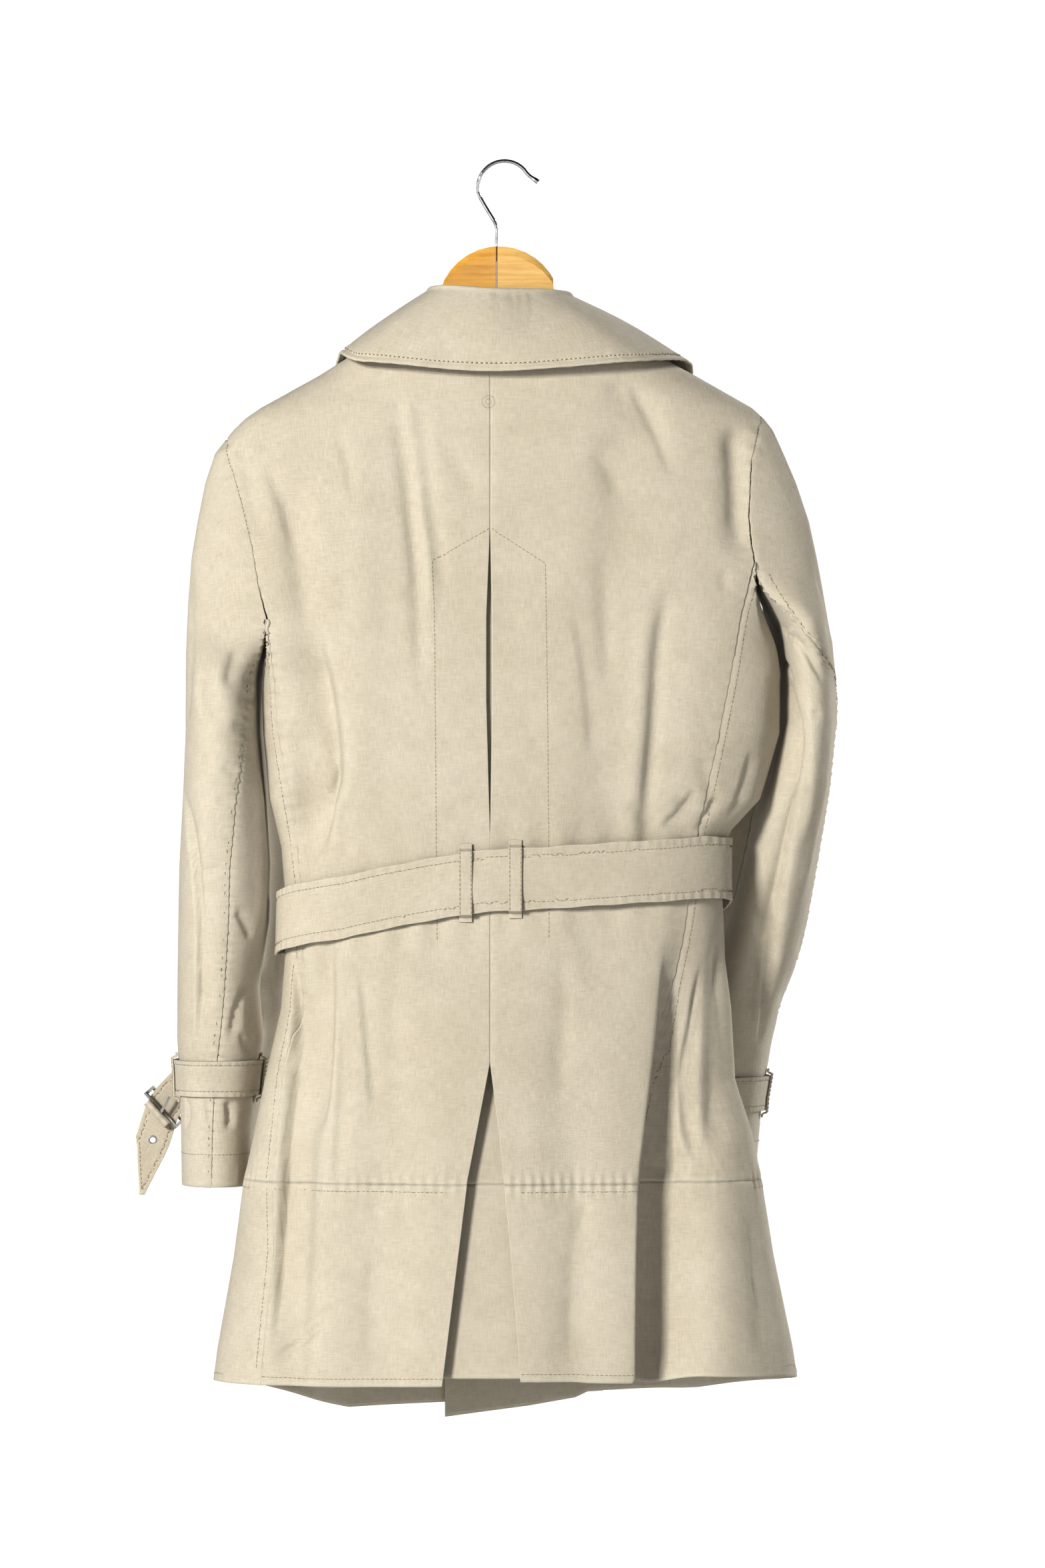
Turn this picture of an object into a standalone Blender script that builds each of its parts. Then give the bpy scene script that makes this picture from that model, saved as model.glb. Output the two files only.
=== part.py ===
"""Trench coat on a wooden hanger, seen from its back along +Y.

Metres, +Z up, +X to the viewer's right, the coat's back towards -Y. The origin is the inner top of the hook.
The cloth is made of panels. Each panel is an outer surface, sampled on a grid of columns and rows, and the
same surface again one wall further in. The surfaces come from horizontal rings, whose half widths and depths
stand in the tables below, and from troughs (folds) pressed into them.
"""

import math

import bpy
import numpy as np

# Driving dimensions
CLOTH = 0.0012  # wall of the panels
HEAVY = 0.0020  # wall of the collar, belt and straps
HALF_SEAM = 0.00015  # each panel stops this far from its seam line
CENTRE_X = -0.0114  # centre back seam
BAND_Z = -0.792  # seam above the hem band
HEM_BACK_Z = -0.944
OUTER_EDGE_X = 0.0785  # free edge of the outer front
INNER_EDGE_X = -0.0478  # free edge of the front beneath it
OVERLAP_GAP = 0.0045  # the inner front lies this far behind the outer one
BREAK_Z = -0.330  # the lapels turn out above here
NECK_HALF = 0.058  # half width of the neckline
NECK_BACK_Z = -0.129
VENT_TOP_Z = -0.699
BLEND = 0.070  # height over which the armhole's flat side turns into the body's round one
CORNER = 0.955  # part of the half width where the side of the body starts
SLEEVE_SQUARE = 2.3
SHOULDER_SQUARE = 2.2
BELT_WIDTH = 0.048
BELT_GAP = 0.0050  # from the waist to the belt's inside
LOOP_WIDTH = 0.0100
STRAP_WIDTH = 0.0275
STRAP_GAP = 0.0016
BUTTON_RADIUS = 0.0105


def table(names, rows):
    """A table as {column: values}, ordered by its first column."""
    data = np.array(sorted(rows), float)
    return dict(zip(names.split(), data.T))


def at(rows, name, key, value):
    return np.interp(value, rows[key], rows[name])


# Outline of shoulders and upper sleeves, and depth of the coat behind and before its middle plane.
SHOULDERS = table("z left right back front", [
    (-0.430, -0.2491, 0.2595, 0.0660, 0.0700),
    (-0.386, -0.2486, 0.2575, 0.0640, 0.0690),
    (-0.342, -0.2470, 0.2500, 0.0615, 0.0670),
    (-0.310, -0.2445, 0.2440, 0.0590, 0.0640),
    (-0.280, -0.2395, 0.2375, 0.0560, 0.0610),
    (-0.250, -0.2335, 0.2275, 0.0525, 0.0570),
    (-0.2267, -0.2258, 0.2175, 0.0490, 0.0530),
    (-0.2090, -0.2117, 0.2095, 0.0470, 0.0510),
    (-0.2000, -0.2025, 0.2025, 0.0460, 0.0500),
    (-0.1914, -0.1900, 0.1930, 0.0450, 0.0490),
    (-0.1659, -0.1440, 0.1482, 0.0410, 0.0450),
    (-0.1400, -0.1030, 0.1000, 0.0370, 0.0400),
    (-0.1170, -0.0694, 0.0466, 0.0300, 0.0320),
    (-0.1080, -0.0500, 0.0270, 0.0240, 0.0250),
])

# The body below the armholes: outline, depth and squareness of its ring.
BODY = table("z left right back front square", [
    (-0.990, -0.2325, 0.2350, 0.1080, 0.1120, 2.2),
    (-0.9235, -0.2238, 0.2248, 0.1020, 0.1060, 2.2),
    (-0.8523, -0.2111, 0.2100, 0.0940, 0.0970, 2.2),
    (-0.7961, -0.2038, 0.2010, 0.0880, 0.0900, 2.2),
    (-0.7571, -0.1955, 0.1935, 0.0830, 0.0850, 2.3),
    (-0.7155, -0.1872, 0.1800, 0.0780, 0.0800, 2.3),
    (-0.6588, -0.1742, 0.1768, 0.0690, 0.0720, 2.3),
    (-0.6204, -0.1715, 0.1720, 0.0620, 0.0660, 2.3),
    (-0.5673, -0.1715, 0.1710, 0.0560, 0.0600, 2.3),
    (-0.5346, -0.1740, 0.1712, 0.0570, 0.0600, 2.3),
    (-0.5200, -0.1775, 0.1775, 0.0585, 0.0615, 2.3),
    (-0.4971, -0.1830, 0.2000, 0.0610, 0.0640, 2.4),
    (-0.4451, -0.1882, 0.2150, 0.0655, 0.0680, 2.5),
    (-0.3983, -0.1898, 0.2158, 0.0640, 0.0680, 2.7),
    (-0.3557, -0.1890, 0.2080, 0.0620, 0.0670, 3.2),
    (-0.3000, -0.1866, 0.1980, 0.0580, 0.0640, 4.0),
])

# Seams between the back and its neighbours: the armhole above, the side-back seam below.
SIDE_SEAM = {
    -1: table("z x", [
        (-0.990, -0.1900), (-0.9347, -0.1876), (-0.8438, -0.1790), (-0.7901, -0.1806), (-0.7089, -0.1731),
        (-0.6500, -0.1625), (-0.6186, -0.1590), (-0.5602, -0.1592), (-0.5144, -0.1658), (-0.4426, -0.1769),
        (-0.4082, -0.1790), (-0.3573, -0.1842), (-0.3315, -0.1905), (-0.3006, -0.1957), (-0.2665, -0.2041),
        (-0.2458, -0.2100), (-0.2287, -0.2160),
    ]),
    1: table("z x", [
        (-0.990, 0.1080), (-0.7876, 0.1126), (-0.7043, 0.1257), (-0.6590, 0.1330), (-0.5751, 0.1436),
        (-0.5237, 0.1502), (-0.4636, 0.1629), (-0.4025, 0.1752), (-0.3547, 0.1830), (-0.3130, 0.1944),
        (-0.2975, 0.1919), (-0.2763, 0.1900), (-0.2323, 0.1927), (-0.2017, 0.1996),
    ]),
}
ARMPIT_Z = {-1: -0.3573, 1: -0.3130}

# The hem's height on the back and on the fronts, which hang lower towards their free edges.
HEM = {
    -1: table("x back front", [
        (-0.2262, -0.9480, -0.9495), (-0.1980, -0.9476, -0.9570), (-0.1570, -0.9470, -0.9692),
        (-0.1200, -0.9465, -0.9796), (-0.0490, -0.9453, -0.9770), (0.0800, -0.9453, -0.9672)]),
    1: table("x back front", [
        (-0.0480, -0.9417, -0.9885), (0.0175, -0.9417, -0.9795), (0.0547, -0.9420, -0.9726),
        (0.0660, -0.9430, -0.9670), (0.0980, -0.9435, -0.9655), (0.1060, -0.9395, -0.9650),
        (0.1500, -0.9395, -0.9617), (0.2158, -0.9430, -0.9520), (0.2350, -0.9455, -0.9470)]),
}
HEM_TURN = 0.06  # depth over which the hem goes from the back's height to the front's

# Free edges at the centre back: the pleat's slit above, the kick pleat below.
CENTRE_EDGE = {
    -1: table("z x", [(-0.990, -0.0505), (-0.9454, -0.0476), (-0.7876, -0.0279), (-0.699, -0.0112),
                      (-0.5237, -0.0112), (-0.4200, -0.0138), (-0.3557, -0.0138), (-0.2861, -0.0112)]),
    1: table("z x", [(-0.990, 0.0150), (-0.9418, 0.0125), (-0.8433, 0.0049), (-0.7536, -0.0039),
                     (-0.699, -0.0108), (-0.5237, -0.0108), (-0.4200, -0.0095), (-0.3557, -0.0098),
                     (-0.2861, -0.0108)]),
}

# Troughs pressed into the rings: the line of the bottom of each, its width on either side, and its depth at
# both ends. face is -1 on the back and 1 on the front.
FOLDS = [
    dict(face=-1, z=(-0.150, -0.700), x=(0.098, 0.066), near=0.020, far=0.030, deep=(0.004, 0.003)),
    dict(face=-1, z=(-0.320, -0.560), x=(0.129, 0.108), near=0.007, far=0.020, deep=(0.003, 0.004)),
    dict(face=-1, z=(-0.200, -0.315), x=(0.180, 0.183), near=0.012, far=0.010, deep=(0.005, 0.004)),
    dict(face=-1, z=(-0.575, -0.990), x=(0.140, 0.118), near=0.011, far=0.030, deep=(0.006, 0.034)),
    dict(face=-1, z=(-0.585, -0.780), x=(0.171, 0.166), near=0.008, far=0.012, deep=(0.006, 0.008)),
    dict(face=-1, z=(-0.190, -0.420), x=(-0.074, -0.064), near=0.006, far=0.006, deep=(0.003, 0.002)),
    dict(face=-1, z=(-0.240, -0.400), x=(-0.166, -0.150), near=0.014, far=0.014, deep=(0.005, 0.003)),
    dict(face=-1, z=(-0.430, -0.560), x=(-0.160, -0.150), near=0.012, far=0.012, deep=(0.004, 0.006)),
    dict(face=-1, z=(-0.620, -0.990), x=(-0.149, -0.166), near=0.016, far=0.012, deep=(0.006, 0.012)),
    dict(face=-1, z=(-0.620, -0.990), x=(-0.090, -0.100), near=0.025, far=0.030, deep=(0.003, 0.007)),
    dict(face=-1, z=(-0.620, -0.990), x=(0.045, 0.058), near=0.020, far=0.024, deep=(0.002, 0.006)),
    dict(face=1, z=(-0.350, -0.560), x=(-0.120, -0.105), near=0.020, far=0.020, deep=(0.003, 0.005)),
    dict(face=1, z=(-0.350, -0.560), x=(0.130, 0.112), near=0.018, far=0.018, deep=(0.003, 0.006)),
    dict(face=1, z=(-0.620, -0.995), x=(-0.118, -0.145), near=0.018, far=0.026, deep=(0.006, 0.018)),
    dict(face=1, z=(-0.620, -0.995), x=(0.122, 0.150), near=0.020, far=0.026, deep=(0.006, 0.018)),
]

# The sleeves as stacked rings: outer and inner edge, middle and half depth along Y, and the angles of the
# hind and fore seams, from the back towards the outer side.
SLEEVE = {
    -1: table("z outer inner mid deep hind fore", [
        (-0.7995, -0.2546, -0.1985, 0.0570, 0.0560, 3, 190),
        (-0.7571, -0.2550, -0.1975, 0.0540, 0.0570, 2, 192),
        (-0.7155, -0.2555, -0.1935, 0.0450, 0.0570, 1, 195),
        (-0.6833, -0.2570, -0.1890, 0.0330, 0.0560, -2, 198),
        (-0.6438, -0.2565, -0.1919, 0.0280, 0.0570, -10, 200),
        (-0.5933, -0.2555, -0.1845, 0.0220, 0.0600, -8, 205),
        (-0.5476, -0.2545, -0.1830, 0.0190, 0.0610, -8, 210),
        (-0.4971, -0.2516, -0.1868, 0.0160, 0.0620, -18, 215),
        (-0.4451, -0.2492, -0.1918, 0.0120, 0.0620, -40, 225),
        (-0.3931, -0.2488, -0.1928, 0.0080, 0.0600, -62, 235),
        (-0.3573, -0.2478, -0.1880, 0.0050, 0.0560, -70, 245),
    ]),
    1: table("z outer inner mid deep hind fore", [
        (-0.7950, 0.2010, 0.1400, 0.1380, 0.0510, 100, 280),
        (-0.7348, 0.2056, 0.1400, 0.1270, 0.0520, 100, 280),
        (-0.6900, 0.2127, 0.1450, 0.1160, 0.0530, 100, 280),
        (-0.6552, 0.2209, 0.1530, 0.1060, 0.0540, 100, 278),
        (-0.6266, 0.2322, 0.1640, 0.0950, 0.0540, 98, 275),
        (-0.5959, 0.2389, 0.1760, 0.0820, 0.0550, 96, 270),
        (-0.5585, 0.2448, 0.1860, 0.0640, 0.0560, 95, 265),
        (-0.5101, 0.2520, 0.1990, 0.0440, 0.0570, 94, 260),
        (-0.4841, 0.2555, 0.2080, 0.0330, 0.0580, 93, 258),
        (-0.4347, 0.2597, 0.2195, 0.0220, 0.0590, 90, 252),
        (-0.4009, 0.2587, 0.2195, 0.0160, 0.0590, 62, 248),
        (-0.3739, 0.2560, 0.2170, 0.0120, 0.0580, 3, 245),
        (-0.3598, 0.2535, 0.2140, 0.0100, 0.0570, -22, 245),
        (-0.3130, 0.2447, 0.1980, 0.0040, 0.0550, -60, 245),
    ]),
}

# How far the front half of a sleeve reaches in behind the body's edge, beyond its ring.
TUCK = {
    -1: table("z tuck", [(-0.7995, 0.0), (-0.7155, 0.010), (-0.6600, 0.024), (-0.6000, 0.030), (-0.5300, 0.026),
                         (-0.4600, 0.018), (-0.4000, 0.010), (-0.3573, 0.0)]),
    1: table("z tuck", [(-0.7950, 0.0), (-0.6900, 0.006), (-0.6300, 0.016), (-0.5700, 0.026), (-0.5100, 0.036),
                        (-0.4500, 0.036), (-0.3900, 0.026), (-0.3500, 0.012), (-0.3130, 0.0)]),
}

# The collar, station by station from the wearer's left front end round the back to the right one. neck is the
# foot of the stand, fold its top, edge the fall's lower edge; bulge lifts the fall's middle.
COLLAR = [
    dict(neck=(-0.004, 0.052, -0.205), fold=(-0.010, 0.060, -0.190), edge=(-0.088, 0.064, -0.252), bulge=0.004),
    dict(neck=(-0.041, 0.036, -0.147), fold=(-0.046, 0.046, -0.134), edge=(-0.130, 0.054, -0.208), bulge=0.006),
    dict(neck=(-0.062, 0.010, -0.118), fold=(-0.056, 0.014, -0.104), edge=(-0.1310, 0.010, -0.1515), bulge=0.0010),
    dict(neck=(-0.056, -0.018, -0.122), fold=(-0.0465, -0.022, -0.100), edge=(-0.110, -0.044, -0.157), bulge=0.004),
    dict(neck=(-0.011, -0.029, -0.130), fold=(-0.008, -0.033, -0.103), edge=(-0.008, -0.054, -0.166), bulge=0.006),
    dict(neck=(0.034, -0.018, -0.122), fold=(0.037, -0.022, -0.1035), edge=(0.095, -0.047, -0.158), bulge=0.004),
    dict(neck=(0.0455, 0.010, -0.1145), fold=(0.0485, 0.014, -0.1075), edge=(0.1465, 0.006, -0.1575), bulge=0.0018),
    dict(neck=(0.025, 0.034, -0.147), fold=(0.034, 0.046, -0.134), edge=(0.126, 0.058, -0.212), bulge=0.006),
    dict(neck=(-0.004, 0.048, -0.205), fold=(-0.002, 0.056, -0.190), edge=(0.080, 0.064, -0.256), bulge=0.004),
]

# The belt's middle line by angle round the waist, from the centre back.
BELT_LINE = table("angle z", [(-180, -0.590), (-90, -0.594), (-40, -0.580), (0, -0.559), (30, -0.553),
                              (60, -0.549), (90, -0.551), (130, -0.572), (180, -0.590), (270, -0.594)])

COLOURS = {
    "cloth": ((0.60, 0.54, 0.41), 0.85, 0.0),
    "wood": ((0.72, 0.40, 0.12), 0.35, 0.0),
    "metal": ((0.62, 0.62, 0.64), 0.2, 1.0),
    "button": ((0.30, 0.24, 0.16), 0.4, 0.0),
}


def smooth(value):
    value = np.clip(value, 0.0, 1.0)
    return value * value * (3 - 2 * value)


def unit(vectors):
    return vectors / np.maximum(np.linalg.norm(vectors, axis=-1, keepdims=True), 1e-12)


# Surfaces of the coat

def half_width(rows, x, z):
    """Distance from the centre line to the outline, on the side that x is on."""
    left = CENTRE_X - at(rows, "left", "z", z)
    right = at(rows, "right", "z", z) - CENTRE_X
    return np.where(x < CENTRE_X, left, right)


def arc(share, square):
    return np.maximum(1 - np.clip(share, 0, 1) ** square, 0) ** (1 / square)


def face_name(face):
    return "back" if face < 0 else "front"


def shoulder_depth(face, x, z):
    share = abs(x - CENTRE_X) / half_width(SHOULDERS, x, z)
    return at(SHOULDERS, face_name(face), "z", z) * arc(share, SHOULDER_SQUARE)


def body_depth(face, x, z):
    share = abs(x - CENTRE_X) / half_width(BODY, x, z)
    return at(BODY, face_name(face), "z", z) * arc(share, at(BODY, "square", "z", z))


def below_armpit(x, z):
    """0 at the armhole and above, 1 from BLEND below it."""
    armpit = np.interp(x, [-0.1, 0.1], [ARMPIT_Z[-1], ARMPIT_Z[1]])
    return smooth((armpit - z) / BLEND)


def depth(face, x, z):
    """How far the coat stands behind (face -1) or before (face 1) its middle plane."""
    upper = shoulder_depth(face, x, z)
    return upper + (body_depth(face, x, z) - upper) * below_armpit(x, z) + HALF_SEAM


def trough(x, y, z):
    """How deep the folds press in at a point."""
    total = np.zeros_like(x)
    for fold in FOLDS:
        share = (z - fold["z"][0]) / (fold["z"][1] - fold["z"][0])
        middle = fold["x"][0] + share * (fold["x"][1] - fold["x"][0])
        width = np.where(x < middle, fold["near"], fold["far"])
        deep = np.interp(share, [0, 1], fold["deep"])
        ends = smooth(share * 5) * smooth((1 - share) * 5)
        total += deep * ends * np.exp(-((x - middle) / width) ** 2) * smooth(fold["face"] * y / 0.02)
    waist = at(BELT_LINE, "z", "angle", np.degrees(np.arctan2(x - CENTRE_X, -y)))
    return total + 0.0012 * (1 + np.sin(x * 230 + 1)) * np.exp(-((z - waist) / 0.035) ** 2)


def folded(x, y, z):
    """The points with the folds pressed in along the ring's normal."""
    x, y, z = np.broadcast_arrays(x, y, z)
    half = half_width(BODY, x, z)
    thick = np.where(y < 0, at(BODY, "back", "z", z), at(BODY, "front", "z", z))
    normal = unit(np.stack([(x - CENTRE_X) / half ** 2, y / thick ** 2], axis=-1))
    total = trough(x, y, z)
    return np.stack([x - normal[..., 0] * total, y - normal[..., 1] * total, z], axis=-1)


def seam_x(side, z):
    return at(SIDE_SEAM[side], "x", "z", z) - side * HALF_SEAM


def armpit_ease(side, z):
    """The back panel stops a little short of the seam where it turns the armhole's corner."""
    return 0.0009 * np.exp(-((z - ARMPIT_Z[side]) / 0.022) ** 2)


def centre_x(side, z):
    return at(CENTRE_EDGE[side], "x", "z", z) + side * HALF_SEAM


def armhole_offset(side, z):
    """Distance of the armhole seam from the centre line; below the armpit it stays as it is there."""
    return abs(at(SIDE_SEAM[side], "x", "z", np.maximum(z, ARMPIT_Z[side])) - CENTRE_X)


def corner_offset(side, z):
    """Distance from the centre line to where the body's side starts."""
    x = CENTRE_X + side * 0.15
    grown = CORNER * half_width(BODY, x, z)
    flat = armhole_offset(side, z) - HALF_SEAM
    return flat + (grown - flat) * below_armpit(x, z)


def side_points(side, share, z):
    """The body's side between its back corner (share 0) and its front corner (share 1)."""
    x = CENTRE_X + side * 0.15
    square = at(BODY, "square", "z", z)
    start = np.arcsin(CORNER ** (square / 2))
    angle = start + share * (math.pi - 2 * start)
    reach = np.sin(angle) ** (2 / square)
    along = np.sign(np.cos(angle)) * abs(np.cos(angle)) ** (2 / square)
    along = (1 - along / np.cos(start) ** (2 / square)) / 2
    offset = corner_offset(side, z)
    corner = CENTRE_X + side * offset
    behind, before = -depth(-1, corner, z), depth(1, corner, z)
    offset = offset + (reach - CORNER) * half_width(BODY, x, z) * below_armpit(x, z)
    flatness = 1 - below_armpit(x, z)
    along = along + (share - along) * flatness
    return folded(CENTRE_X + side * offset, behind + (before - behind) * along, z)


def free_edge_x(side, z):
    """The front panels' free edge, and above the break the line on which the lapel turns."""
    low = OUTER_EDGE_X if side < 0 else INNER_EDGE_X
    neck = CENTRE_X + side * NECK_HALF
    return np.interp(z, [BREAK_Z, -0.1185], [low, neck])


def overlap(side, x, z):
    """How far the inner front lies behind the outer one."""
    reach = np.minimum(free_edge_x(-1, z) + 0.022 - x, 0.016) if side > 0 else 0
    return OVERLAP_GAP * smooth(reach / 0.016)


def ridge_z(x):
    """Height of the shoulder line at x."""
    rows = SHOULDERS["z"] > -0.30
    z = SHOULDERS["z"][rows][::-1]
    left = np.interp(CENTRE_X - x, CENTRE_X - SHOULDERS["left"][rows][::-1], z)
    right = np.interp(x - CENTRE_X, SHOULDERS["right"][rows][::-1] - CENTRE_X, z)
    return np.where(x < CENTRE_X, left, right)


def back_top(x):
    share = abs(x - CENTRE_X) / NECK_HALF
    return np.minimum(ridge_z(x), np.where(share < 1, NECK_BACK_Z + 0.012 * share ** 2, 0))


def top_of(column_x, limit, low):
    """The height at which a column of a panel reaches its upper edge."""
    heights = np.linspace(low, -0.1, 1200)
    under = heights < limit(column_x(heights))
    return heights[np.nonzero(~under)[0][0]] if not under.all() else heights[-1]


def hem_z(side, x, y):
    share = smooth(0.5 + y / HEM_TURN)
    return at(HEM[side], "back", "x", x) * (1 - share) + at(HEM[side], "front", "x", x) * share


# Meshes

def wall(name, points, inside, thickness=CLOTH, colour="cloth", clamp=None, closed=False, seams=None):
    """A closed wall: a grid of outer points (columns, rows), and the same grid moved in along its normals.

    A missing point is nan. inside is a point, or one for each grid point, that the wall is moved towards.
    seams gives the normals of a first or last column (0 or -1) that a neighbour shares.
    """
    points = np.asarray(points, float)
    if closed:
        points = np.concatenate([points, points[:1]])
    columns, rows = points.shape[:2]
    there = ~np.isnan(points[..., 0])
    index = np.full((columns, rows), -1)
    index[there] = np.arange(there.sum())
    if closed:
        index[-1] = index[0]
        index = renumbered(index)
        there[-1] = False
    verts = points[there]
    quads = []
    for i in range(columns - 1):
        for j in range(rows - 1):
            corners = (index[i, j], index[i + 1, j], index[i + 1, j + 1], index[i, j + 1])
            if min(corners) >= 0:
                quads.append(corners)
    quads = np.array(quads)
    normals = vertex_normals(verts, quads)
    target = np.broadcast_to(inside, points.shape)[there]
    if np.sum(normals * (verts - target)) < 0:
        quads = quads[:, ::-1]
        normals = -normals
    for column, shared in (seams or {}).items():
        rows_there = there[column]
        shared = shared[:rows_there.sum()]
        shared = shared * np.sign(np.sum(shared * normals[index[column][rows_there]][:len(shared)], axis=1))[:, None]
        normals[index[column][rows_there][:len(shared)]] = shared
    inner = verts - normals * thickness
    if clamp:
        inner = clamp(verts, inner)
    return closed_mesh(name, verts, inner, quads, colour)


def renumbered(index):
    """The grid's vertex numbers, without gaps, once its last column has become its first."""
    _, compact = np.unique(index, return_inverse=True)
    return compact.reshape(index.shape)


def vertex_normals(verts, quads):
    """Area-weighted vertex normals of a mesh of quads."""
    crossed = np.cross(verts[quads[:, 2]] - verts[quads[:, 0]], verts[quads[:, 3]] - verts[quads[:, 1]])
    normals = np.zeros_like(verts)
    for corner in range(4):
        np.add.at(normals, quads[:, corner], crossed)
    return unit(normals)


def seam_normals(before, after, along):
    """Normals at a seam, from the columns on either side of it."""
    return unit(np.cross(after - before, np.gradient(along, axis=0)))


def closed_mesh(name, outer, inner, quads, colour):
    """Outer and inner skins joined by a rim along the open edges."""
    count = len(outer)
    used = {}
    for quad in quads.tolist():
        for a, b in zip(quad, quad[1:] + quad[:1]):
            used[(a, b)] = True
    faces = quads.tolist() + (quads[:, ::-1] + count).tolist()
    faces += [(b, a, a + count, b + count) for a, b in used if (b, a) not in used]
    return mesh_object(name, np.concatenate([outer, inner]), faces, colour)


def mesh_object(name, verts, faces, colour, smooth_shading=True):
    mesh = bpy.data.meshes.new(name)
    mesh.from_pydata([tuple(map(float, v)) for v in verts], [], [tuple(f) for f in faces])
    if smooth_shading:
        mesh.shade_smooth()
    mesh.materials.append(material(colour))
    obj = bpy.data.objects.new(name, mesh)
    bpy.context.scene.collection.objects.link(obj)
    return obj


def material(name):
    if name in bpy.data.materials:
        return bpy.data.materials[name]
    made = bpy.data.materials.new(name)
    made.use_nodes = True
    shader = made.node_tree.nodes["Principled BSDF"]
    colour, roughness, metallic = COLOURS[name]
    shader.inputs["Base Color"].default_value = (*colour, 1)
    shader.inputs["Roughness"].default_value = roughness
    shader.inputs["Metallic"].default_value = metallic
    return made


def beside_axis(points):
    """For each point, the point of the coat's vertical axis at its height."""
    target = np.array(points)
    target[..., 0] = CENTRE_X
    target[..., 1] = 0
    return target


# Body panels

def back_grid(side, low, high, shares, rows):
    """Grid of a back panel from the centre edge to the side seam, up to the shoulder, or of a band from hem to high."""
    grid = []
    for share in shares:
        def column_x(z, share=share):
            edge = seam_x(side, z) - side * armpit_ease(side, z)
            return centre_x(side, z) + share * (edge - centre_x(side, z))
        start = ARMPIT_Z[side]
        if high is None:
            lower = np.linspace(low, start, rows[0] + 1)
            top = top_of(column_x, back_top, start) - HALF_SEAM
            upper = top - (top - start) * (1 - np.linspace(0, 1, rows[1] + 1)[1:]) ** 1.6
            z = np.concatenate([lower, upper])
        else:
            z = np.linspace(hem_z(side, column_x(low), -HEM_TURN), high, rows[0] + 1)
        x = column_x(z)
        grid.append(folded(x, -depth(-1, x, z), z))
    return np.array(grid)


def keep_to_face(face):
    """Keeps the inner skin on its own side of the middle plane, along the shoulder line."""
    def clamp(outer, inner):
        wrong = (outer[:, 2] > -0.24) & (inner[:, 1] * face < HALF_SEAM)
        inner[wrong, 1] = face * HALF_SEAM
        return inner
    return clamp


def back_panels():
    shares = {-1: (0, .12, .24, .33, .42, .52, .62, .72, .81, .89, .95, 1),
              1: (0, .12, .24, .36, .48, .59, .69, .78, .85, .91, .96, 1)}
    for side, label in ((-1, "left"), (1, "right")):
        grid = back_grid(side, BAND_Z + HALF_SEAM, None, shares[side], (16, 11))
        shared = side_back_normals(side, grid[-1, :17, 2])
        wall("back_" + label, grid, beside_axis(grid), clamp=keep_to_face(-1), seams={-1: shared})
        band = back_grid(side, HEM_BACK_Z, BAND_Z - HALF_SEAM, shares[side], (5, 0))
        shared = side_back_normals(side, band[-1, :, 2])
        wall("band_back_" + label, band, beside_axis(band), seams={-1: shared})


def side_back_normals(side, z):
    """Normals along the side-back seam, shared by the back and the front panel."""
    x = seam_x(side, z) - side * 0.004
    before = folded(x, -depth(-1, x, z), z)
    after = front_column(side, "side", 0.03, z)
    x = seam_x(side, z)
    return seam_normals(before, after, folded(x, -depth(-1, x, z), z))


def front_column(side, part, share, z):
    """A point row of the front panel: its strip of back, its side or its front, by part."""
    corner = CENTRE_X + side * corner_offset(side, z)
    if part == "side":
        return side_points(side, share, z)
    if part == "back":
        x = seam_x(side, z) + 2 * side * HALF_SEAM
        x = x + share * (corner - x)
        return folded(x, -depth(-1, x, z), z)
    start = np.where(z < ARMPIT_Z[side], corner, seam_x(side, z))
    x = start + share * (free_edge_x(side, z) - start)
    return folded(x, depth(1, x, z) - overlap(side, x, z), z)


def front_grid(side, low, high, rows):
    """Grid of a front panel from the side-back seam round to the free edge. Above high it has no top part."""
    parts = [("back", s) for s in (0, .5)] + [("side", s) for s in (0, .2, .4, .6, .8)]
    parts += [("front", s) for s in (0, .08, .18, .28, .38, .48, .58, .69, .80, .90, 1)]
    grid = []
    armpit = ARMPIT_Z[side]
    for part, share in parts:
        if high < armpit:
            bottom = front_column(side, part, share, np.array([low]))[0]
            lower = np.linspace(hem_z(side, bottom[0], bottom[1]), high, rows[0] + 1)
            grid.append(front_column(side, part, share, lower))
            continue
        z = np.linspace(low, armpit, rows[0] + 1)
        column = front_column(side, part, share, z)
        if part != "front":
            column[-1, 2] -= HALF_SEAM
            blank = np.full((rows[1], 3), np.nan)
            grid.append(np.concatenate([column, blank]))
            continue
        top = top_of(lambda z: front_column(side, part, share, z)[:, 0], ridge_z, armpit) - HALF_SEAM
        steps = (1 - np.linspace(0, 1, rows[1] + 1)[1:]) ** 1.6
        upper = top - (top - armpit) * steps
        grid.append(np.concatenate([column, front_column(side, part, share, upper)]))
    return np.array(grid)


def front_panels():
    for side, label in ((-1, "left"), (1, "right")):
        grid = front_grid(side, BAND_Z + HALF_SEAM, 0, (16, 11))
        shared = side_back_normals(side, grid[0, :17, 2])
        wall("front_" + label, grid, beside_axis(grid), clamp=keep_to_face(1), seams={0: shared})
        band = front_grid(side, HEM_BACK_Z, BAND_Z - HALF_SEAM, (5, 0))
        shared = side_back_normals(side, band[0, :, 2])
        wall("band_front_" + label, band, beside_axis(band), seams={0: shared})


# Pleats at the centre back

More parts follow.
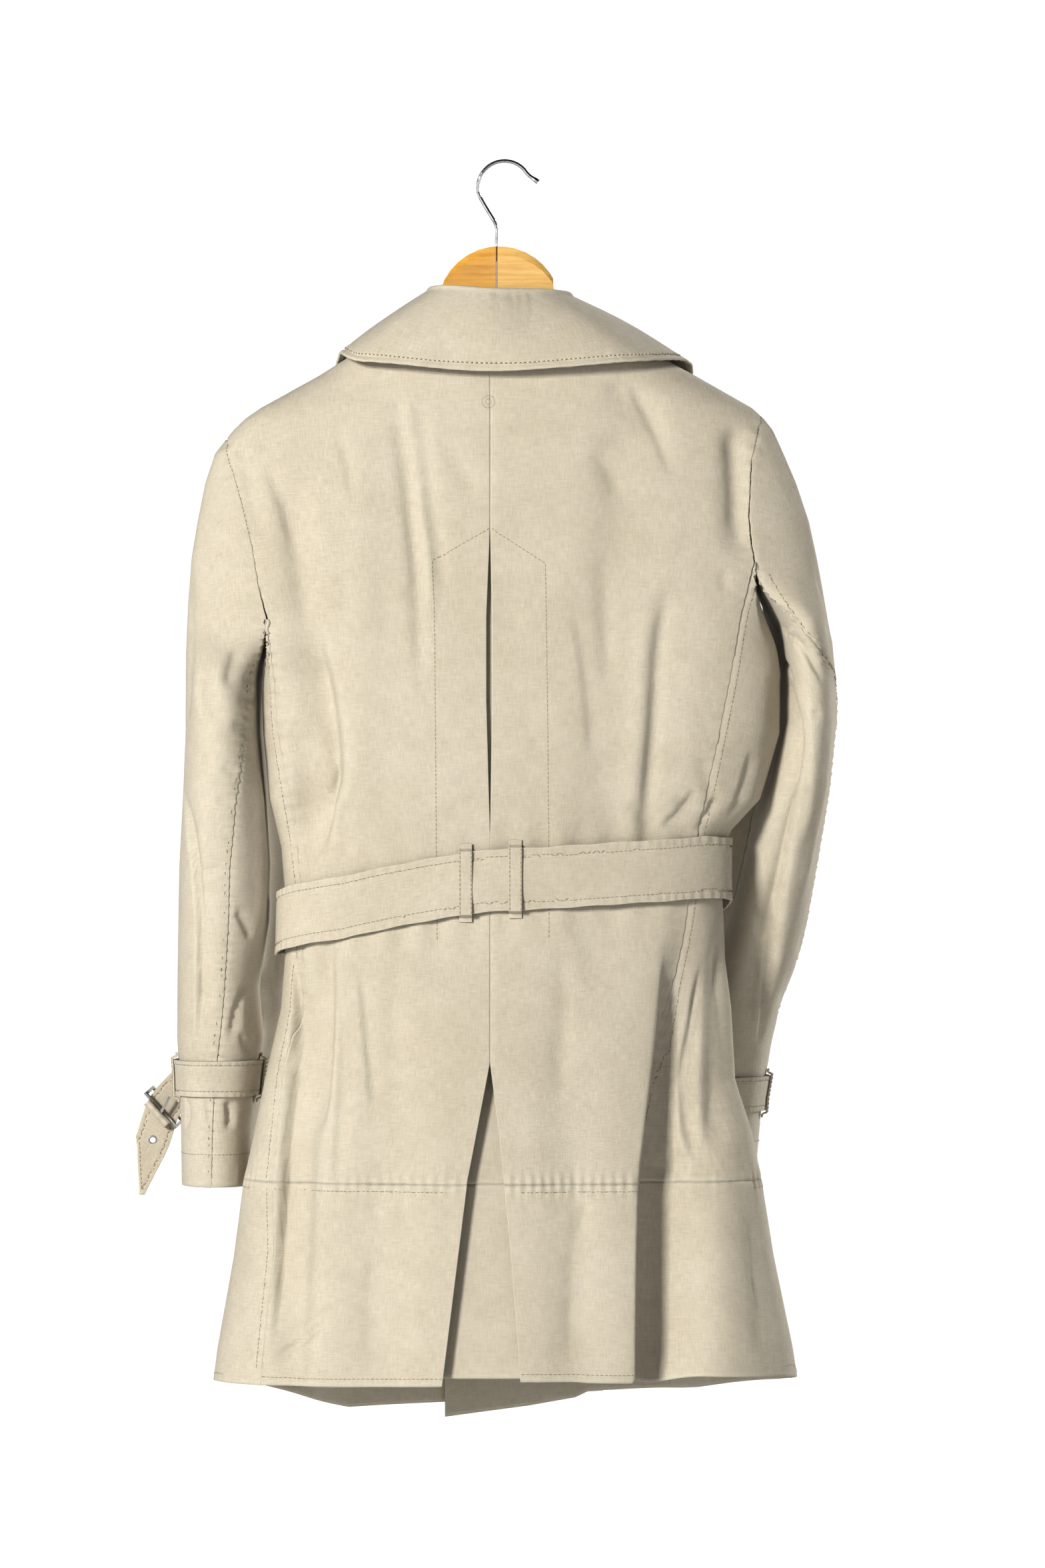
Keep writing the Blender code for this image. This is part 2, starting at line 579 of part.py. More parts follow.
def underlay_grid(low, high, half_low, half_high, hollow, count):
    """A strip behind the centre back, close at its sides and hollow in the middle."""
    z = np.linspace(low, high, count)
    grid = []
    for share in np.linspace(-1, 1, 7):
        middle = CENTRE_X + np.interp(z, [HEM_BACK_Z, VENT_TOP_Z], [-0.008, 0.0])
        x = middle + share * np.interp(z, [low, high], [half_low, half_high])
        behind = CLOTH + 0.0007 + hollow * (1 - share ** 4)
        grid.append(folded(x, -depth(-1, x, z) + behind, z))
    return np.array(grid)


def underlays():
    pleat = underlay_grid(-0.545, -0.292, 0.038, 0.022, 0.0030, 12)
    wall("back_pleat_underlay", pleat, beside_axis(pleat))
    kick = underlay_grid(BAND_Z + HALF_SEAM, VENT_TOP_Z - 0.004, 0.052, 0.030, 0.0042, 5)
    wall("kick_pleat_underlay", kick, beside_axis(kick))
    band = underlay_grid(HEM_BACK_Z + 0.004, BAND_Z - HALF_SEAM, 0.072, 0.052, 0.0042, 6)
    wall("band_kick_pleat_underlay", band, beside_axis(band))


# Sleeves

CAP_BLEND = 0.050  # height over which the armhole's arc turns into the sleeve's ring


def sleeve_ring(side, angle, z):
    """A point of the sleeve's ring at an angle in degrees from its back, positive towards the outer side."""
    rows = SLEEVE[side]
    outer, inner = at(rows, "outer", "z", z), at(rows, "inner", "z", z)
    turn = np.radians(angle)
    across = np.sign(np.sin(turn)) * abs(np.sin(turn)) ** (2 / SLEEVE_SQUARE)
    along = np.sign(np.cos(turn)) * abs(np.cos(turn)) ** (2 / SLEEVE_SQUARE)
    x = (outer + inner) / 2 + (outer - inner) / 2 * across
    y = at(rows, "mid", "z", z) - at(rows, "deep", "z", z) * along
    before = smooth(-1.3 * np.cos(turn)) * smooth(-1.2 * np.sin(turn) + 0.2)
    x = x - side * at(TUCK[side], "tuck", "z", z) * before
    x, y, z = np.broadcast_arrays(x, y, z)
    return np.stack([x, y, z], axis=-1)


def cap_arc(side, share, z):
    """The sleeve's cap, from the armhole seam on the back round to the one on the front."""
    x = CENTRE_X + side * 0.2
    half = half_width(SHOULDERS, x, z)
    square = SHOULDER_SQUARE
    start = np.arcsin(np.clip((armhole_offset(side, z) + HALF_SEAM) / half, 0, 1) ** (square / 2))
    angle = start + share * (math.pi - 2 * start)
    along = np.sign(np.cos(angle)) * abs(np.cos(angle)) ** (2 / square)
    deep = np.where(along > 0, at(SHOULDERS, "back", "z", z), at(SHOULDERS, "front", "z", z))
    x = CENTRE_X + side * half * np.sin(angle) ** (2 / square)
    y = -deep * along - np.clip(along * 20, -1, 1) * HALF_SEAM
    return np.stack([x, y, z], axis=-1)


def sleeve_blend(side, z):
    return smooth((ARMPIT_Z[side] - z) / CAP_BLEND)[..., None]


def top_sleeve_point(side, share, z):
    hind, fore = at(SLEEVE[side], "hind", "z", z), at(SLEEVE[side], "fore", "z", z)
    seam = 0.15
    ring = sleeve_ring(side, hind + seam + share * (fore - hind - 2 * seam), z)
    return cap_arc(side, share, z) * (1 - sleeve_blend(side, z)) + ring * sleeve_blend(side, z)


def under_sleeve_point(side, share, z):
    """share 0 is the hind seam, 1 the fore seam, by way of the side next to the body."""
    hind, fore = at(SLEEVE[side], "hind", "z", z), at(SLEEVE[side], "fore", "z", z) - 360
    seam = 0.15
    ring = sleeve_ring(side, hind - seam + share * (fore - hind + 2 * seam), z)
    armpit = np.array([ARMPIT_Z[side]])
    start, end = cap_arc(side, 0, armpit)[0], cap_arc(side, 1, armpit)[0]
    flat = start + share * (end - start) + np.array([side * 0.0012 * math.sin(share * math.pi), 0, 0])
    flat = np.stack([np.full_like(z, flat[0]), np.full_like(z, flat[1]), z], axis=-1)
    return flat * (1 - sleeve_blend(side, z)) + ring * sleeve_blend(side, z)


def sleeves():
    for side, label in ((-1, "left"), (1, "right")):
        cuff = SLEEVE[side]["z"][0]
        armpit = ARMPIT_Z[side]
        tip = ridge_z(CENTRE_X + side * (armhole_offset(side, -0.21) + 0.0012)) - 0.0005
        lower = np.linspace(cuff, armpit, 18)
        upper = np.linspace(armpit, tip, 9)[1:]
        z = np.concatenate([lower, upper])
        grid = np.array([top_sleeve_point(side, s, z) for s in np.linspace(0.004, 0.996, 11)])
        middle = (grid.min(axis=0) + grid.max(axis=0)) / 2
        middle = np.broadcast_to(middle, grid.shape).copy()
        middle[:, 18:, 0] = CENTRE_X
        shared = {column: sleeve_seam_normals(side, column, lower) for column in (0, -1)}
        wall("top_sleeve_" + label, grid, middle, seams=shared)
        grid = np.array([under_sleeve_point(side, s, lower) for s in np.linspace(0, 1, 9)])
        grid[:, -1, 2] -= HALF_SEAM * 2
        outer = sleeve_ring(side, 90, lower)
        wall("under_sleeve_" + label, grid, np.broadcast_to(outer, grid.shape), seams=shared)


def sleeve_seam_normals(side, column, z):
    """Normals along the hind seam (column 0) or the fore seam (column -1)."""
    near = (0.04, 0.06) if column == 0 else (0.96, 0.94)
    edge = 0 if column == 0 else 1
    before, after = top_sleeve_point(side, near[0], z), under_sleeve_point(side, near[1], z)
    return seam_normals(before, after, top_sleeve_point(side, edge, z))


# Collar and lapels

FOLD_RADIUS = 0.0029  # of the turn along the collar's top


def collar():
    """The stand and the fall in one wall, folded along the collar's top."""
    stations = len(COLLAR)
    places = np.arange(stations)
    columns = np.linspace(0, stations - 1, 23)
    line = {name: spline(places, np.array([row[name] for row in COLLAR]), columns)
            for name in ("neck", "fold", "edge")}
    bulge = np.interp(columns, places, [row["bulge"] for row in COLLAR])
    axis = np.array([CENTRE_X, 0.01, 0])
    grid = []
    for i in range(len(columns)):
        neck, fold, edge = line["neck"][i], line["fold"][i], line["edge"][i]
        out = edge - fold
        out[2] = 0
        out = out / np.linalg.norm(out)
        up = np.array([0, 0, 1.0])
        profile = [neck, neck + (fold - neck) * 0.55]
        for turn in (0, 60, 120, 180):
            swing = math.radians(turn)
            profile.append(fold + out * FOLD_RADIUS * (1 - math.cos(swing)) + up * FOLD_RADIUS * math.sin(swing))
        start = profile[-1]
        lift = unit(np.cross(edge - start, np.cross(up, out)))
        lift = lift if lift @ out > 0 else -lift
        for share in (0.2, 0.42, 0.64, 0.84, 1):
            profile.append(start + (edge - start) * share + lift * bulge[i] * math.sin(share * math.pi))
        grid.append(profile)
    grid = np.array(grid)
    inside = np.empty_like(grid)
    for i in range(len(columns)):
        inside[i] = (line["fold"][i] + line["edge"][i]) / 2 - np.array([0, 0, 0.05])
    wall("collar", grid, inside, thickness=HEAVY)


def spline(places, values, wanted):
    """Catmull-Rom curve through values at places 0, 1, 2 ..."""
    padded = np.concatenate([2 * values[:1] - values[1:2], values, 2 * values[-1:] - values[-2:-1]])
    result = []
    for position in wanted:
        i = min(int(position), len(places) - 2)
        t = position - i
        a, b, c, d = padded[i:i + 4]
        result.append(0.5 * (2 * b + (c - a) * t + (2 * a - 5 * b + 4 * c - d) * t ** 2
                             + (3 * b - a - 3 * c + d) * t ** 3))
    return np.array(result)


LAPEL = table("z width lift", [(BREAK_Z, 0.004, 0.0018), (-0.300, 0.030, 0.0022), (-0.262, 0.058, 0.0024),
                               (-0.232, 0.078, 0.0024), (-0.215, 0.062, 0.0024)])


def lapels():
    """Each lapel lies on its own front, turned out along the roll line."""
    for side, label in ((-1, "left"), (1, "right")):
        z = np.linspace(BREAK_Z + 0.002, -0.217, 10)
        grid = []
        for share in np.linspace(0, 1, 6):
            x = free_edge_x(side, z) + side * at(LAPEL, "width", "z", z) * share
            slope = share * at(LAPEL, "width", "z", z) * 0.10
            y = depth(1, x, z - slope) - overlap(side, x, z) + at(LAPEL, "lift", "z", z)
            grid.append(folded(x, y, z - slope))
        grid = np.array(grid)
        wall("lapel_" + label, grid, beside_axis(grid))


# Belt

def waist_point(angle, z, gap):
    """A point outside the coat at an angle in degrees round the waist, 0 at the centre back."""
    angle = (angle + 180) % 360 - 180
    side = 1 if angle >= 0 else -1
    turn = math.radians(abs(angle))
    square = float(at(BODY, "square", "z", z))
    half = float(half_width(BODY, CENTRE_X + side * 0.1, z)) + gap
    thick = float(at(BODY, face_name(1 if abs(angle) > 90 else -1), "z", z)) + gap
    along = math.copysign(abs(math.cos(turn)) ** (2 / square), math.cos(turn))
    return np.array([CENTRE_X + side * half * math.sin(turn) ** (2 / square), -thick * along, z])


BELT_START = 172  # degrees; the belt's covered end, by the centre front
BELT_LAP = 44  # degrees by which its tip passes the start
BELT_STEP = 0.0028  # how much further out the tip lies than the start under it


def belt_centre(angle):
    return float(at(BELT_LINE, "z", "angle", angle))


def belt():
    """One strip round the waist: its tip lies over its own start."""
    angles = np.linspace(BELT_START, BELT_START - 360 - BELT_LAP, 58)
    grid = []
    for angle in angles:
        wrapped = angle if angle > -180 else angle + 360
        lap = smooth((BELT_START - 330 - angle) / 14)
        gap = BELT_GAP + HEAVY + BELT_STEP * lap
        centre = belt_centre(wrapped)
        taper = 1 - 0.75 * smooth((BELT_START - 360 - BELT_LAP + 10 - angle) / 10)
        row = []
        for share in (-1, 0, 1):
            z = centre + share * taper * BELT_WIDTH / 2
            row.append(waist_at(angle, centre, z, gap))
        grid.append(row)
    grid = np.array(grid)
    wall("belt", grid, beside_axis(grid), thickness=HEAVY)


BUCKLE_ANGLE = 164  # degrees from the centre back, where the belt's tip passes the buckle


def waist_at(angle, centre, z, gap):
    """The waist's outline at the height of the belt's middle, carried straight up and down."""
    point = waist_point(angle, centre, gap)
    return np.array([point[0], point[1], z])


def frame_mesh(name, across, up, out, centre, outer, inner, thick):
    """A flat rectangular frame in the plane of across and up."""
    verts = []
    for level in (-0.5, 0.5):
        for size in (outer, inner):
            for i, j in ((-0.5, -0.5), (0.5, -0.5), (0.5, 0.5), (-0.5, 0.5)):
                verts.append(centre + across * i * size[0] + up * j * size[1] + out * level * thick)
    faces = []
    for k in range(4):
        n = (k + 1) % 4
        faces += [(8 + k, 8 + n, 12 + n, 12 + k), (4 + k, 4 + n, n, k)]
        faces += [(k, n, 8 + n, 8 + k), (12 + k, 12 + n, 4 + n, 4 + k)]
    if np.dot(np.cross(across, up), out) < 0:
        faces = [face[::-1] for face in faces]
    return mesh_object(name, verts, faces, "metal", smooth_shading=False)


def buckle(label, centre, along, out, size, rim):
    """The frame of a buckle, through which a strap runs along."""
    across = np.cross(out, along)
    inner = (size[0] - 2 * rim, size[1] - 2 * rim)
    frame_mesh(label + "_buckle", along, across, out, centre, size, inner, rim * 0.8)


def prong(label, centre, along, out, length, width):
    """A flat pin that lies across the frame."""
    across = np.cross(out, along)
    corners = []
    for k in (-0.5, 0.5):
        for i, j in ((-0.5, -0.5), (0.5, -0.5), (0.5, 0.5), (-0.5, 0.5)):
            corners.append(centre + along * i * length + across * j * width + out * k * width)
    faces = [(0, 3, 2, 1), (4, 5, 6, 7), (0, 1, 5, 4), (1, 2, 6, 5), (2, 3, 7, 6), (3, 0, 4, 7)]
    mesh_object(label + "_prong", corners, faces, "metal", smooth_shading=False)


def belt_buckle():
    """The belt's frame lies on its tip, with the bars above and below clear of the belt's edges."""
    gap = BELT_GAP + HEAVY + BELT_STEP + 0.0026
    z = belt_centre(BUCKLE_ANGLE)
    centre = waist_point(BUCKLE_ANGLE, z, gap)
    ahead = waist_point(BUCKLE_ANGLE - 6, z, gap) - waist_point(BUCKLE_ANGLE + 6, z, gap)
    ahead = unit(ahead)
    out = np.array([-ahead[1], ahead[0], 0.0])
    out = out if out[1] > 0 else -out
    buckle("belt", centre, ahead, out, (0.044, BELT_WIDTH + 0.012), 0.0045)


LOOP_PATH = table("reach gap", [(-1, 0.0018), (-0.90, 0.0026), (-0.82, 1), (0, 1), (0.82, 1), (0.90, 0.0026),
                                (1, 0.0018)])


def loop(name, foot, across, out, half_length, gap, width):
    """A narrow strip that stands off over what it holds, its two ends down on the cloth."""
    grid = []
    for i in (-0.5, 0.5):
        row = []
        for reach, height in zip(LOOP_PATH["reach"], LOOP_PATH["gap"]):
            point, normal = foot(reach * half_length)
            row.append(point + across * i * width + normal * (gap if height == 1 else height))
        grid.append(row)
    grid = np.array(grid)
    wall(name, grid, grid - out * 0.05, thickness=0.0012)


def belt_loops():
    back = np.array([0, -1.0, 0])
    for label, x, middle in (("left", -0.0300, -0.5610), ("right", 0.0085, -0.5580)):
        def foot(rise, x=x, middle=middle):
            z = middle + rise
            points = folded(np.array([x]), -depth(-1, np.array([x]), np.array([z])), np.array([z]))
            return points[0], back
        loop("belt_loop_" + label, foot, np.array([1.0, 0, 0]), back, 0.0300, 0.0102, LOOP_WIDTH)


# Cuffs

STRAP_Z = {-1: -0.7146, 1: -0.7310}


def strap_point(side, angle, z, gap):
    point = sleeve_ring(side, angle, np.array([z]))[0]
    ahead = sleeve_ring(side, angle + 1, np.array([z]))[0] - sleeve_ring(side, angle - 1, np.array([z]))[0]
    out = np.array([ahead[1], -ahead[0], 0.0]) * side
    out = unit(out)
    return point + out * gap, out


def cuff_straps():
    for side, label in ((-1, "left"), (1, "right")):
        middle = STRAP_Z[side]
        grid = []
        for angle in np.arange(0, 360, 12):
            grid.append([strap_point(side, angle, middle + share * STRAP_WIDTH / 2, STRAP_GAP + HEAVY)[0]
                         for share in (-1, 0, 1)])
        grid = np.array(grid)
        centre = grid.mean(axis=0)
        wall("cuff_strap_" + label, grid, np.broadcast_to(centre, (len(grid) + 1, 3, 3)),
             thickness=HEAVY, closed=True)
        for place, angle in (("outer", 78), ("inner", -78)):
            ahead = strap_point(side, angle + 4, middle, 0)[0] - strap_point(side, angle - 4, middle, 0)[0]
            out = strap_point(side, angle, middle, 0)[1]

            def foot(rise, side=side, angle=angle, middle=middle):
                return strap_point(side, angle, middle + rise, 0)
            loop("cuff_loop_" + label + "_" + place, foot, unit(ahead), out, 0.0195, 0.0056, 0.0085)


# The loose end of the left cuff's strap, hanging through its buckle: its middle line, and how far each part of
# its width reaches beyond TAIL_HOLE. Its end is cut on a slant.
TAIL = [(-0.2380, 0.1060, -0.7060), (-0.2560, 0.1060, -0.7240), (-0.2715, 0.1055, -0.7420),
        (-0.2805, 0.1040, -0.7680), (-0.2905, 0.0995, -0.7880), (-0.3010, 0.0960, -0.8090)]
TAIL_HOLE = 3  # the point of TAIL where the eyelet is
TAIL_BUCKLE = 2
TAIL_END = table("share reach", [(-1, 0.0420), (-0.75, 0.0440), (1, 0.0025)])
BUCKLE_SIZE = (0.0200, 0.0376)
BUCKLE_RIM = 0.0024
BUCKLE_LONG = (0.662, 0.0, -0.750)  # the long bars' direction on the left cuff
BUCKLE_SHORT = (-0.262, -0.938, -0.231)


def cuff_tails():
    path = np.array(TAIL)
    line = spline(np.arange(len(path)), path, np.linspace(0, len(path) - 1, 61))
    ahead = unit(np.gradient(line, axis=0))
    front = np.array([0, -1.0, 0])
    across = unit(np.cross(ahead, front))
    length = np.concatenate([[0], np.cumsum(np.linalg.norm(np.diff(line, axis=0), axis=1))])
    grid = []
    for share in (-1, -0.75, -0.25, 0.35, 1):
        end = length[TAIL_HOLE * 12] + at(TAIL_END, "reach", "share", share)
        wanted = np.linspace(0, end, 16)
        points = line + across * share * STRAP_WIDTH / 2
        grid.append(np.stack([np.interp(wanted, length, points[:, k]) for k in range(3)], axis=-1))
    grid = np.array(grid)
    wall("cuff_tail_left", grid, grid - front * 0.05, thickness=HEAVY)
    long_way, short_way = np.array(BUCKLE_LONG), np.array(BUCKLE_SHORT)
    out = unit(np.cross(long_way, short_way))
    centre = path[TAIL_BUCKLE] - front * 0.001
    buckle("cuff_left", centre, short_way, out, BUCKLE_SIZE, BUCKLE_RIM)
    prong("cuff_left", centre + front * 0.0110, unit(ahead[TAIL_BUCKLE * 12]), front, 0.0200, 0.0019)
    centre, out = strap_point(1, 215, STRAP_Z[1], STRAP_GAP + HEAVY + 0.0020)
    side_way = unit(np.cross(np.array([0, 0, 1.0]), out))
    buckle("cuff_right", centre, side_way, out, BUCKLE_SIZE, BUCKLE_RIM)
    prong("cuff_right", centre + out * 0.0026, side_way, out, 0.0250, 0.0019)


# Buttons

BUTTON_ROWS = (-0.388, -0.478, -0.668, -0.748)
BUTTON_COLUMNS = (0.0560, -0.0790)
BUTTON_PROFILE = ((0.30, 0.0), (1.0, 0.0), (1.06, 0.0016), (0.90, 0.0032), (0.62, 0.0024))


def buttons():
    number = 0
    for x in BUTTON_COLUMNS:
        for z in BUTTON_ROWS:
            number += 1
            near = [folded(np.array([a]), depth(1, np.array([a]), np.array([b])), np.array([b]))[0]
                    for a, b in ((x - 0.01, z), (x + 0.01, z), (x, z - 0.01), (x, z + 0.01), (x, z))]
            out = unit(np.cross(near[3] - near[2], near[1] - near[0]))
            out = out if out[1] > 0 else -out
            across = unit(near[1] - near[0])
            up = np.cross(out, across)
            lathe("button_%d" % number, near[4] + out * 0.0006, across, up, out)


def lathe(name, centre, across, up, out, sides=16):
    verts, faces = [], []
    for radius, height in BUTTON_PROFILE:
        for k in range(sides):
            turn = 2 * math.pi * k / sides
            spoke = across * math.cos(turn) + up * math.sin(turn)
            verts.append(centre + spoke * radius * BUTTON_RADIUS + out * height)
    for ring in range(len(BUTTON_PROFILE) - 1):
        for k in range(sides):
            n = (k + 1) % sides
            faces.append((ring * sides + k, ring * sides + n, (ring + 1) * sides + n, (ring + 1) * sides + k))
    faces.append(tuple(range(sides - 1, -1, -1)))
    last = (len(BUTTON_PROFILE) - 1) * sides
    faces.append(tuple(range(last, last + sides)))
    if np.dot(np.cross(across, up), out) < 0:
        faces = [face[::-1] for face in faces]
    mesh_object(name, verts, faces, "button")


# Hanger

HANGER_TOP = -0.0655
DOME_SHIFT = 0.0019  # the dome's middle stands this far to the right of the hook's stem
DOME_END = {-1: 0.0470, 1: 0.0440}  # distance from the stem at which the dome meets the arms
DOME_RADIUS = 0.0480
HANGER_THICK = 0.0125
HANGER_REACH = 0.1840
WIRE = 0.0014
STEM_X = -0.0061
STEM_SINK = 0.0120  # how far the hook goes into the wood
HANGER = table("reach height", [(0, 0.062), (0.030, 0.050), (0.055, 0.030), (0.080, 0.025), (0.130, 0.021),
                                (0.184, 0.015)])


def hanger_top(side, reach, x):
    across = min(abs(side * reach - DOME_SHIFT), DOME_RADIUS)
    dome = HANGER_TOP - DOME_RADIUS + math.sqrt(DOME_RADIUS ** 2 - across ** 2)
    return dome if reach <= DOME_END[side] else float(ridge_z(np.array(x))) - 0.0040


def hanger():
    """Two halves glued at the middle, each a loft of rounded sections."""
    cutter = stem_cutter()
    for side, label in ((-1, "left"), (1, "right")):
        end = DOME_END[side]
        reaches = [0, .006, .014, .022, .030, .036, .041, end, end + .002, .055, .070, .095, .120, .145, .165,
                   .178, HANGER_REACH]
        verts, faces = [], []
        for reach in reaches:
            x = STEM_X + side * max(reach, HALF_SEAM)
            top = hanger_top(side, reach, x)
            bottom = top - at(HANGER, "height", "reach", reach)
            thick = HANGER_THICK / 2 * (0.6 if reach == HANGER_REACH else 1)
            for y, share in ((-0.55, 0), (0.55, 0), (1, 0.12), (1, 0.88), (0.55, 1), (-0.55, 1), (-1, 0.88),
                             (-1, 0.12)):
                verts.append((x, y * thick, bottom + (top - bottom) * share))
        for i in range(len(reaches) - 1):
            for k in range(8):
                n = (k + 1) % 8
                faces.append((i * 8 + k, i * 8 + n, (i + 1) * 8 + n, (i + 1) * 8 + k))
        faces.append(tuple(range(7, -1, -1)))
        last = (len(reaches) - 1) * 8
        faces.append(tuple(range(last, last + 8)))
        if side < 0:
            faces = [face[::-1] for face in faces]
        half = mesh_object("hanger_" + label, verts, faces, "wood", smooth_shading=False)
        cut = half.modifiers.new("stem hole", "BOOLEAN")
        cut.operation = "DIFFERENCE"
        cut.object = cutter


def stem_cutter():
    sides, radius = 12, WIRE + 0.0003
    verts = [(STEM_X + radius * math.cos(2 * math.pi * k / sides), radius * math.sin(2 * math.pi * k / sides),
              HANGER_TOP + level) for level in (-STEM_SINK, 0.01) for k in range(sides)]
    faces = [(k, (k + 1) % sides, sides + (k + 1) % sides, sides + k) for k in range(sides)]
    faces += [tuple(range(sides - 1, -1, -1)), tuple(range(sides, 2 * sides))]
    cutter = mesh_object("stem_cutter", verts, faces, "metal")
    cutter.hide_render = True
    cutter.display_type = "WIRE"
    return cutter


HOOK_RADIUS = 0.0208  # of the wire's middle line
HOOK_MIDDLE = (0.0, WIRE - 0.0208)


def hook():
    """The wire stands in the wood, leans out and bends over the rail, its tip turned out a little."""
    points = [(STEM_X, HANGER_TOP - STEM_SINK + 0.0004), (STEM_X, -0.0640), (STEM_X, -0.0570), (STEM_X, -0.0510),
              (-0.0083, -0.0451), (-0.0146, -0.0350)]
    for angle in range(195, 25, -15):
        turn = math.radians(angle)
        points.append((HOOK_MIDDLE[0] + HOOK_RADIUS * math.cos(turn), HOOK_MIDDLE[1] + HOOK_RADIUS * math.sin(turn)))
    points += [(0.0222, -0.0122), (0.0262, -0.0150)]
    line = spline(np.arange(len(points)), np.array(points), np.linspace(0, len(points) - 1, 34))
    curve = bpy.data.curves.new("hook", "CURVE")
    curve.dimensions = "3D"
    curve.bevel_depth = WIRE
    curve.bevel_resolution = 2
    curve.use_fill_caps = True
    bend = curve.splines.new("POLY")
    bend.points.add(len(line) - 1)
    for point, (x, z) in zip(bend.points, line):
        point.co = (x, 0, z, 1)
    for point in bend.points[-2:]:
        point.radius = 1.35
    curve.materials.append(material("metal"))
    bpy.context.scene.collection.objects.link(bpy.data.objects.new("hook", curve))


def clear_scene():
    for obj in list(bpy.data.objects):
        bpy.data.objects.remove(obj)


clear_scene()
back_panels()
front_panels()
underlays()
sleeves()
collar()
lapels()
belt()
belt_buckle()
belt_loops()
cuff_straps()
cuff_tails()
buttons()
hanger()
hook()
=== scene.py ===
"""The trench coat on its hanger, finished for a render: finer cloth over the CAD solids, sewing, materials.

Metres, +Z up, the coat's back towards -Y. The tables are in millimetres and degrees. Each panel of cloth is a
thin shell on the form of its CAD solid, sampled more finely, with the creases of the tables pressed in.
"""
import math

import bpy
import numpy as np
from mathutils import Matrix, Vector
from mathutils.bvhtree import BVHTree

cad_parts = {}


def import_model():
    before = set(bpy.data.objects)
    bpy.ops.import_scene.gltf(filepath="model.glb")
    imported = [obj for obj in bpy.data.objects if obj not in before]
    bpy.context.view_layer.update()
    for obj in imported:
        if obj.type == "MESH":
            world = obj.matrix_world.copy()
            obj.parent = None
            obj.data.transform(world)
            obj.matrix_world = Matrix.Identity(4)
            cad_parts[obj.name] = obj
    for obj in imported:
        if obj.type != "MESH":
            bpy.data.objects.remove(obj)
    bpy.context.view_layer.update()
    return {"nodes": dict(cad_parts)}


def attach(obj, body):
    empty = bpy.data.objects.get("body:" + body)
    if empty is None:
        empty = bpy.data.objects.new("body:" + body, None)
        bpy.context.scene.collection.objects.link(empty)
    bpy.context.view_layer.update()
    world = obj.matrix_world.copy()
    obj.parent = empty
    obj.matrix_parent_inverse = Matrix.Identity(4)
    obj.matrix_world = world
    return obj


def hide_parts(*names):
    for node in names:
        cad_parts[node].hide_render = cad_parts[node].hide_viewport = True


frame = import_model()


def numbers(text):
    """Rows of numbers. A row ends with its line or at a semicolon."""
    rows = [row.split() for row in text.replace("\n", ";").split(";")]
    return [[float(part) for part in row] for row in rows if row]


class Table(dict):
    """Columns in metres, sorted by the first. Called, it interpolates a column at a value of the first."""

    def __init__(self, names, text, plain=""):
        """The text is in millimetres, but for the plain columns."""
        names = names.split()
        columns = np.array(sorted(numbers(text))).T
        super().__init__((name, column / (1 if name in plain.split() else 1000))
                         for name, column in zip(names, columns))
        self.key = names[0]

    def __call__(self, name, value):
        return np.interp(value, self[self.key], self[name])


# Driving dimensions
SIDES = ((-1, "left"), (1, "right"))
FACES = {-1: "back", 1: "front"}
CLOTH = 0.0012  # wall of the panels
HEAVY = 0.0020  # wall of the collar, belt and straps in the solids
HALF_SEAM = 0.00002  # each panel stops this far from its seam line
CENTRE_X = -0.0114  # centre back seam
BAND_Z = -0.792  # seam above the hem band
HEM_BACK_Z = -0.944
HEM_TURN = 0.06  # depth over which the hem goes from the back's height to the front's
OUTER_EDGE_X = 0.0785  # free edge of the outer front
INNER_EDGE_X = -0.0478  # free edge of the front beneath it
OVERLAP_GAP = 0.0045  # the inner front lies this far behind the outer one
BREAK_Z = -0.330  # the lapels turn out above here
NECK_HALF = 0.058  # half width of the neckline
NECK_BACK_Z = -0.129
VENT_TOP_Z = -0.699
PLEAT = (-0.545, -0.292)  # lower and upper end of the inverted pleat
ARMPIT_Z = {-1: -0.3573, 1: -0.3130}
SHOULDER_SEAM_Z = -0.21  # height at which the armhole's seam nears the shoulder line
BLEND = 0.070  # height over which the armhole's flat side turns into the body's round one
CAP_BLEND = 0.050  # height over which the armhole's arc turns into the sleeve's ring
CORNER = 0.955  # part of the half width where the side of the body starts
SLEEVE_SQUARE = 2.3
SHOULDER_SQUARE = 2.2
BELT_WIDTH = 0.048
BELT_GAP = 0.0050  # from the waist to the belt's inside
BELT_START = 172  # degrees; the belt's covered end, by the centre front
BELT_LAP = 44  # degrees by which its tip passes the start
BELT_STEP = 0.0028  # how much further out the tip lies than the start under it
LOOP_WIDTH = 0.0100
CUFF_LOOP_WIDTH = 0.0085
STRAP_WIDTH = 0.0275
STRAP_GAP = 0.0016
STRAP_Z = {-1: -0.7146, 1: -0.7310}
FOLD_RADIUS = 0.0029  # of the turn along the collar's top
TAIL_HOLE = 3  # the point of TAIL where the eyelet is
TAIL_BUCKLE = 2  # the point of TAIL in the buckle
BUCKLE_LONG = (0.662, 0.0, -0.750)  # the long bars' direction on the left cuff

# Outline of shoulders and upper sleeves, and depth of the coat behind and before its middle plane.
SHOULDERS = Table("z left right back front", """
-430 -249.1 259.5 66 70
-386 -248.6 257.5 64 69
-342 -247 250 61.5 67
-310 -244.5 244 59 64
-280 -239.5 237.5 56 61
-250 -233.5 227.5 52.5 57
-226.7 -225.8 217.5 49 53
-209 -211.7 209.5 47 51
-200 -202.5 202.5 46 50
-191.4 -190 193 45 49
-165.9 -144 148.2 41 45
-140 -103 100 37 40
-117 -69.4 46.6 30 32
-108 -50 27 24 25""")
